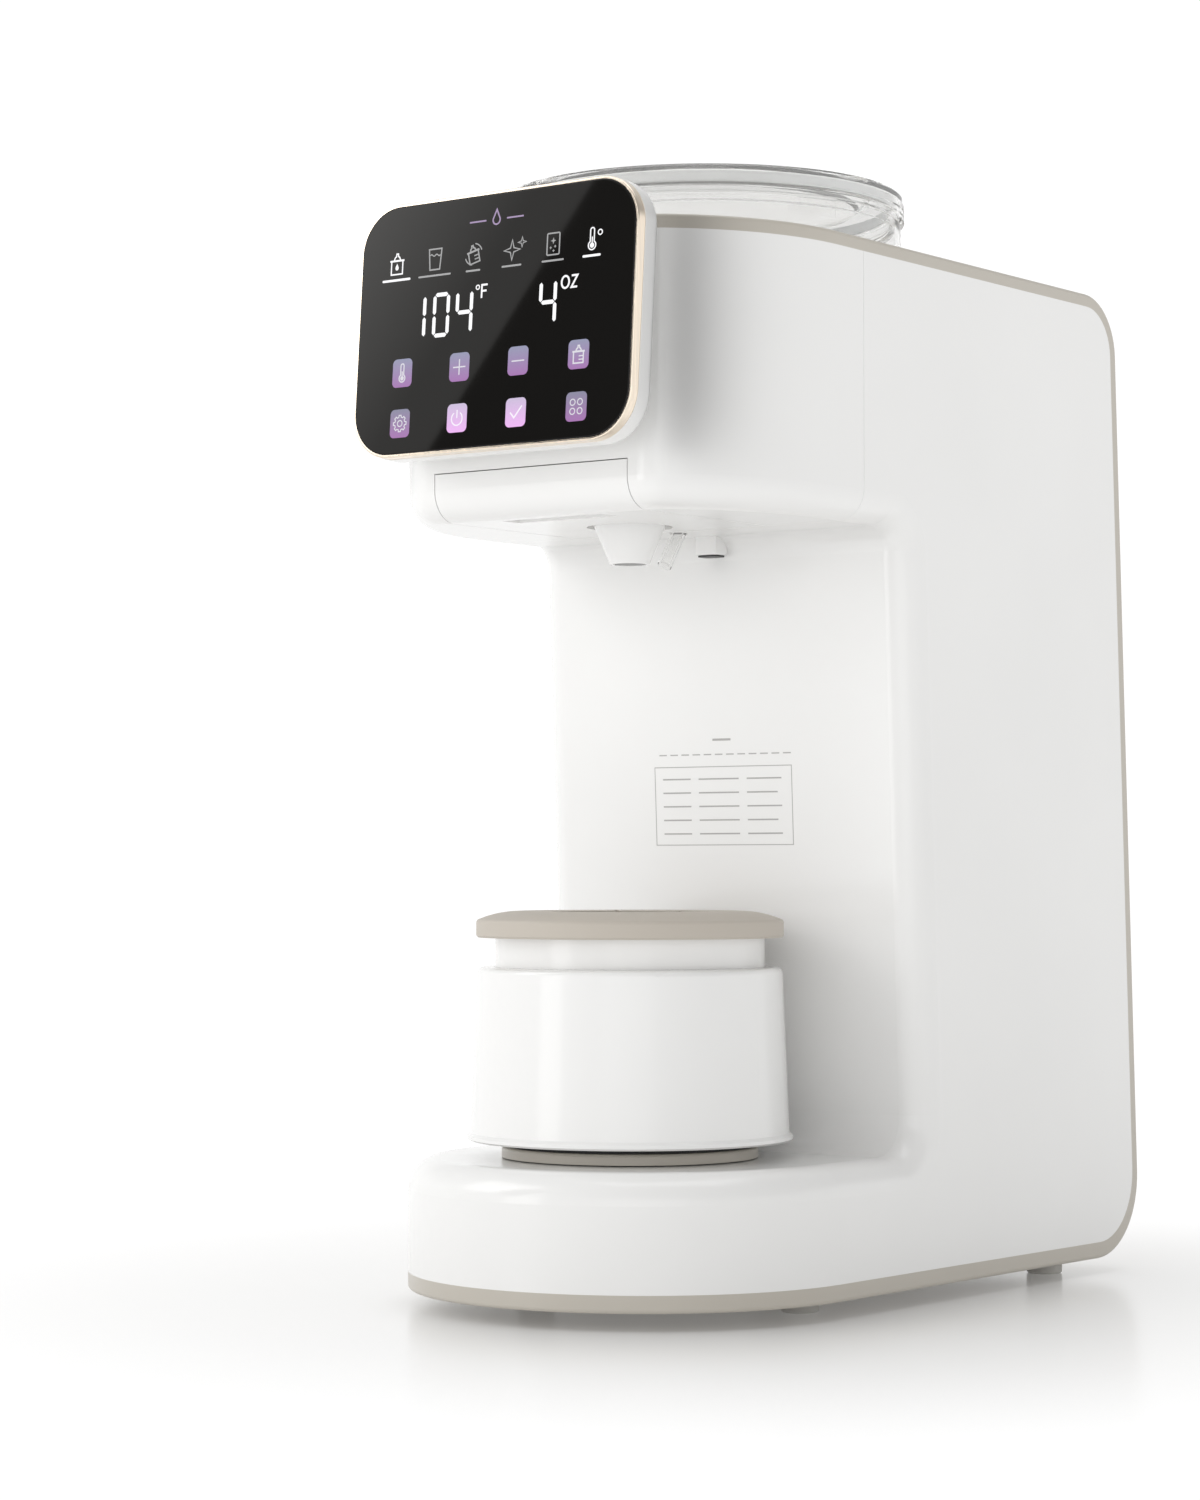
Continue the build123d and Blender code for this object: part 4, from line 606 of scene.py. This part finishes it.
KEY_ROWS = (
    {
        "temperature_key": draw_small_thermometer,
        "plus_key": draw_plus,
        "minus_key": draw_minus,
        "volume_key": draw_small_bottle,
    },
    {
        "settings_key": draw_gear,
        "power_key": draw_power,
        "confirm_key": draw_tick,
        "modes_key": draw_four_rings,
    },
)
BRIGHT_KEYS = ("power_key", "confirm_key")


def make_keys():
    """Two rows of lit touch keys, each with its own symbol."""
    for v, row, plain_key in zip(KEY_V, KEY_ROWS, PLAIN_KEYS):
        for u, (name, draw_symbol) in zip(KEY_U, row.items()):
            bright = name in BRIGHT_KEYS
            pad = Marks(SCREEN, (u, v))
            pad.fill(rounded(KEY_HALF_W, KEY_HALF_H, KEY_R))
            pad.finish(name, BRIGHT_KEY if bright else plain_key)
            symbol = Marks(SCREEN, (u, v), lift=SYMBOL_LIFT)
            draw_symbol(symbol)
            symbol.finish(name + "_symbol", SYMBOL_LIT if bright else SYMBOL_DIM)


CREST_V = 39.0
CREST_LINE = 0.6


def make_crest():
    """Plain drop between two short bars at the top of the display."""
    marks = Marks(SCREEN, (0, CREST_V))
    drop = arc((0, -0.8), 1.7, -215, 35) + [(0, 3.2)]
    marks.line(drop, CREST_LINE, closed=True)
    for side in (-1, 1):
        marks.line([(side * 5.0, -0.6), (side * 13.0, -0.6)], CREST_LINE)
    marks.finish("display_crest", SOFT_LILAC)


# ---------------------------------------------------------------- print on the column
COLUMN_LEAN = radians(2.64)            # the column's face leans forward by this much
COLUMN_UP = Vector((0, -sin(COLUMN_LEAN), cos(COLUMN_LEAN)))
COLUMN_OUT = Vector((0, -cos(COLUMN_LEAN), -sin(COLUMN_LEAN)))
COLUMN = Face((0, -0.0124, 0.216), COLUMN_UP, COLUMN_OUT)
PRINT_LIFT = 0.03
FRAME_LINE = 0.35
FRAME_HALF_WIDTH = 34
FRAME_TOP = -3
FRAME_BOTTOM = -35
DASHES = 12
DASH_PITCH = 5.6
DASH_LENGTH = 3.8
DASH_START = -31.5
DASH_V = 2.0
TEXT_ROWS = 5
TEXT_TOP = -8.0
TEXT_PITCH = 5.6


def make_column_print():
    """Plain guide print on the column: a dash, a dashed line and a framed table of bars."""
    marks = Marks(COLUMN, lift=PRINT_LIFT)
    marks.line([(-4.5, 8.0), (4.5, 8.0)], 0.9)
    for i in range(DASHES):
        u = DASH_START + DASH_PITCH * i
        marks.line([(u, DASH_V), (u + DASH_LENGTH, DASH_V)], 0.5)
    border = [(-FRAME_HALF_WIDTH, FRAME_TOP), (-FRAME_HALF_WIDTH, FRAME_BOTTOM),
              (FRAME_HALF_WIDTH, FRAME_BOTTOM), (FRAME_HALF_WIDTH, FRAME_TOP)]
    marks.line(border, FRAME_LINE, closed=True)
    for row in range(TEXT_ROWS):
        v = TEXT_TOP - TEXT_PITCH * row
        for u, length in ((-30, 14), (-12, 20), (12, 17 - 2 * (row % 2))):
            marks.line([(u, v), (u + length, v)], 0.6)
    marks.finish("column_print", PRINT_GREY)


# ---------------------------------------------------------------- floor and backdrop
FLOOR_SIZE = 60
FLOOR_TONE = (0.86, 0.855, 0.845)
FLOOR_ROUGHNESS = (0.2, 0.24)
FLOOR_LIFT = 0.09                      # share of the backdrop's white that lifts the floor's shadows
FLOOR_REACH = (0.13, 0.5)              # real floor out to the first radius, plain white from the second


def make_floor():
    """Glossy floor that melts into the white backdrop away from the machine."""
    bpy.ops.mesh.primitive_plane_add(size=FLOOR_SIZE, location=(0, 0, 0))
    floor = bpy.context.object
    floor.name = "floor"
    material, tree, out = shader("floor", Base_Color=rgba(FLOOR_TONE))
    tree.links.new(remap(tree, noise(tree, 3.0, 3.0), UNIT, FLOOR_ROUGHNESS), out.inputs["Roughness"])
    reach = node(tree, "ShaderNodeVectorMath", "LENGTH", i0=coordinates(tree)).outputs["Value"]
    fade = remap(tree, reach, FLOOR_REACH, (FLOOR_LIFT, 1.0), smooth=True)
    white = node(tree, "ShaderNodeEmission", Color=rgba((1, 1, 1)), Strength=PURE_WHITE)
    blend = node(tree, "ShaderNodeMixShader", i0=fade, i1=out.outputs["BSDF"], i2=white.outputs["Emission"])
    show(tree, blend.outputs["Shader"])
    floor.data.materials.append(material)


HORIZON_BAND = (0.25, 0.42)            # sine of the elevation where the white starts and stops fading
SKY_BRIGHT = 0.85                      # upper backdrop on the -X side
SKY_DIM = 0.4                          # and on the +X side
SKY_SPAN = (-0.8, 0.7)                 # x of the direction between which it dims


def make_world():
    """White backdrop round the horizon, dimmer overhead and dimmest on the +X side."""
    world = bpy.data.worlds.new("studio")
    bpy.context.scene.world = world
    world.use_nodes = True
    tree = world.node_tree
    background = tree.nodes["Background"]
    background.inputs["Color"].default_value = rgba((1, 1, 1))
    height = node(tree, "ShaderNodeMath", "ABSOLUTE", i0=axis_of(tree, "Z", "Generated"))
    band = remap(tree, height.outputs["Value"], HORIZON_BAND, UNIT, smooth=True)
    sky = remap(tree, axis_of(tree, "X", "Generated"), SKY_SPAN, (SKY_BRIGHT, SKY_DIM), smooth=True)
    level = node(tree, "ShaderNodeMix", Factor=band, A=PURE_WHITE, B=sky)
    tree.links.new(level.outputs["Result"], background.inputs["Strength"])


# ---------------------------------------------------------------- cards and flags of the stage
def stage_card(name, corners, material, glossy, diffuse):
    """One-face card that the camera doesn't see, shown to reflections or to diffuse light."""
    data = bpy.data.meshes.new(name)
    data.from_pydata(corners, [], [(0, 1, 2, 3)])
    data.materials.append(material)
    card = bpy.data.objects.new(name, data)
    bpy.context.scene.collection.objects.link(card)
    card.visible_camera = False
    card.visible_transmission = False
    card.visible_glossy = glossy
    card.visible_diffuse = diffuse
    card.visible_shadow = diffuse
    return card


# Two cards lie where the display mirrors them for the main camera; their joint crosses the glass.
CARD_JOINT_TOP = (44.3, 46.6)          # on the glass
CARD_JOINT_BOTTOM = (-27.9, -47.8)
CARD_REACH = 0.7                       # from the glass to the cards, in metres
CARD_WIDTH = 190                       # cards are measured as the camera sees them on the glass
CARD_ENDS = (-60, 180)
GLARE_COLOR = (1, 0.99, 0.97)
GLARE_DIM = 1.55                       # strength of the bright card beside the joint
GLARE_BRIGHT = 4.1                     # and at the display's far corner
GLARE_RUN = (22, 84)                   # distances from the joint between which it brightens


def mirrored_card(name, side, material):
    """Card on one side of the joint, seen only in reflections; its own x runs away from the joint."""
    camera = bpy.context.scene.camera.location
    depth = (camera - SCREEN.origin).dot(SCREEN.out)
    behind_glass = camera - SCREEN.out * 2 * depth
    top, bottom = Vector(CARD_JOINT_TOP), Vector(CARD_JOINT_BOTTOM)
    along = (top - bottom).normalized()
    stretch = 1 + CARD_REACH / depth
    start = behind_glass + (SCREEN.at(bottom.x, bottom.y, 0) - behind_glass) * stretch
    x_axis = (SCREEN.up * along.x - SCREEN.right * along.y) * MM * stretch
    y_axis = (SCREEN.right * along.x + SCREEN.up * along.y) * MM * stretch
    low, high = CARD_ENDS
    width = side * CARD_WIDTH
    corners = [(0, low, 0), (width, low, 0), (width, high, 0), (0, high, 0)]
    card = stage_card(name, corners, material, glossy=True, diffuse=False)
    turn = Matrix((x_axis, y_axis, SCREEN.out * MM)).transposed().to_4x4()
    card.matrix_world = Matrix.Translation(start) @ turn


def make_screen_cards():
    """Dark card and bright card that give the display its slanting reflection."""
    mirrored_card("dark_card", -1, matt_black("dark_card"))
    glare, tree = shader("glare_card")[:2]
    strength = remap(tree, axis_of(tree, "X"), GLARE_RUN, (GLARE_DIM, GLARE_BRIGHT))
    light = node(tree, "ShaderNodeEmission", Color=rgba(GLARE_COLOR), Strength=strength)
    show(tree, light.outputs["Emission"])
    mirrored_card("glare_card", 1, glare)


FLAG_GAP = 0.001                       # from the display housing's side to a flag
FLAG_WIDTH = 0.026                     # from the housing's side to a flag's far edge
FLAG_DEPTH = 0.0165                    # behind the middle of the glass
FLAG_HALF_HEIGHT = 0.052


def make_side_flags():
    """Dark flags beside the display that deepen the shade on the head behind it."""
    black = matt_black("flag")
    low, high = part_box("display_housing")
    glass = middle("display_glass")
    y = glass.y + FLAG_DEPTH
    bottom, top = glass.z - FLAG_HALF_HEIGHT, glass.z + FLAG_HALF_HEIGHT
    for name, edge, side in (("flag_left", low[0], -1), ("flag_right", high[0], 1)):
        near, far = edge + side * FLAG_GAP, edge + side * FLAG_WIDTH
        corners = [(near, y, bottom), (far, y, bottom), (far, y, top), (near, y, top)]
        stage_card(name, corners, black, glossy=False, diffuse=True)


# ---------------------------------------------------------------- lights
LIGHT_TARGET = (0, 0, 0.22)
LIGHTS = {                             # name: place, width and height, watts
    "key": ((-1.3, -1.2, 1.3), (1.2, 1.2), 7),
    "top": ((0.1, 0.1, 1.9), (1.4, 1.4), 7),
    "strip_left": ((-0.6, -1.5, 0.4), (0.5, 1.3), 3),
    "fill_right": ((1.0, -1.5, 0.3), (1.2, 1.2), 2),
}


def make_lights():
    """Area lights that all aim at the middle of the machine."""
    for name, (place, size, power) in LIGHTS.items():
        data = bpy.data.lights.new(name, "AREA")
        data.shape = "RECTANGLE"
        data.size, data.size_y = size
        data.energy = power
        lamp = bpy.data.objects.new(name, data)
        lamp.location = place
        aim = Vector(LIGHT_TARGET) - Vector(place)
        lamp.rotation_euler = aim.to_track_quat("-Z", "Y").to_euler()
        bpy.context.scene.collection.objects.link(lamp)


bpy.context.scene.view_settings.view_transform = "Standard"
make_camera()
dress_nodes()
make_lit_icons()
make_dim_icons()
make_readout("temperature_readout", TEMPERATURE, draw_degree_f)
make_readout("volume_readout", VOLUME, draw_oz)
make_keys()
make_crest()
make_column_print()
make_floor()
make_world()
make_screen_cards()
make_side_flags()
make_lights()
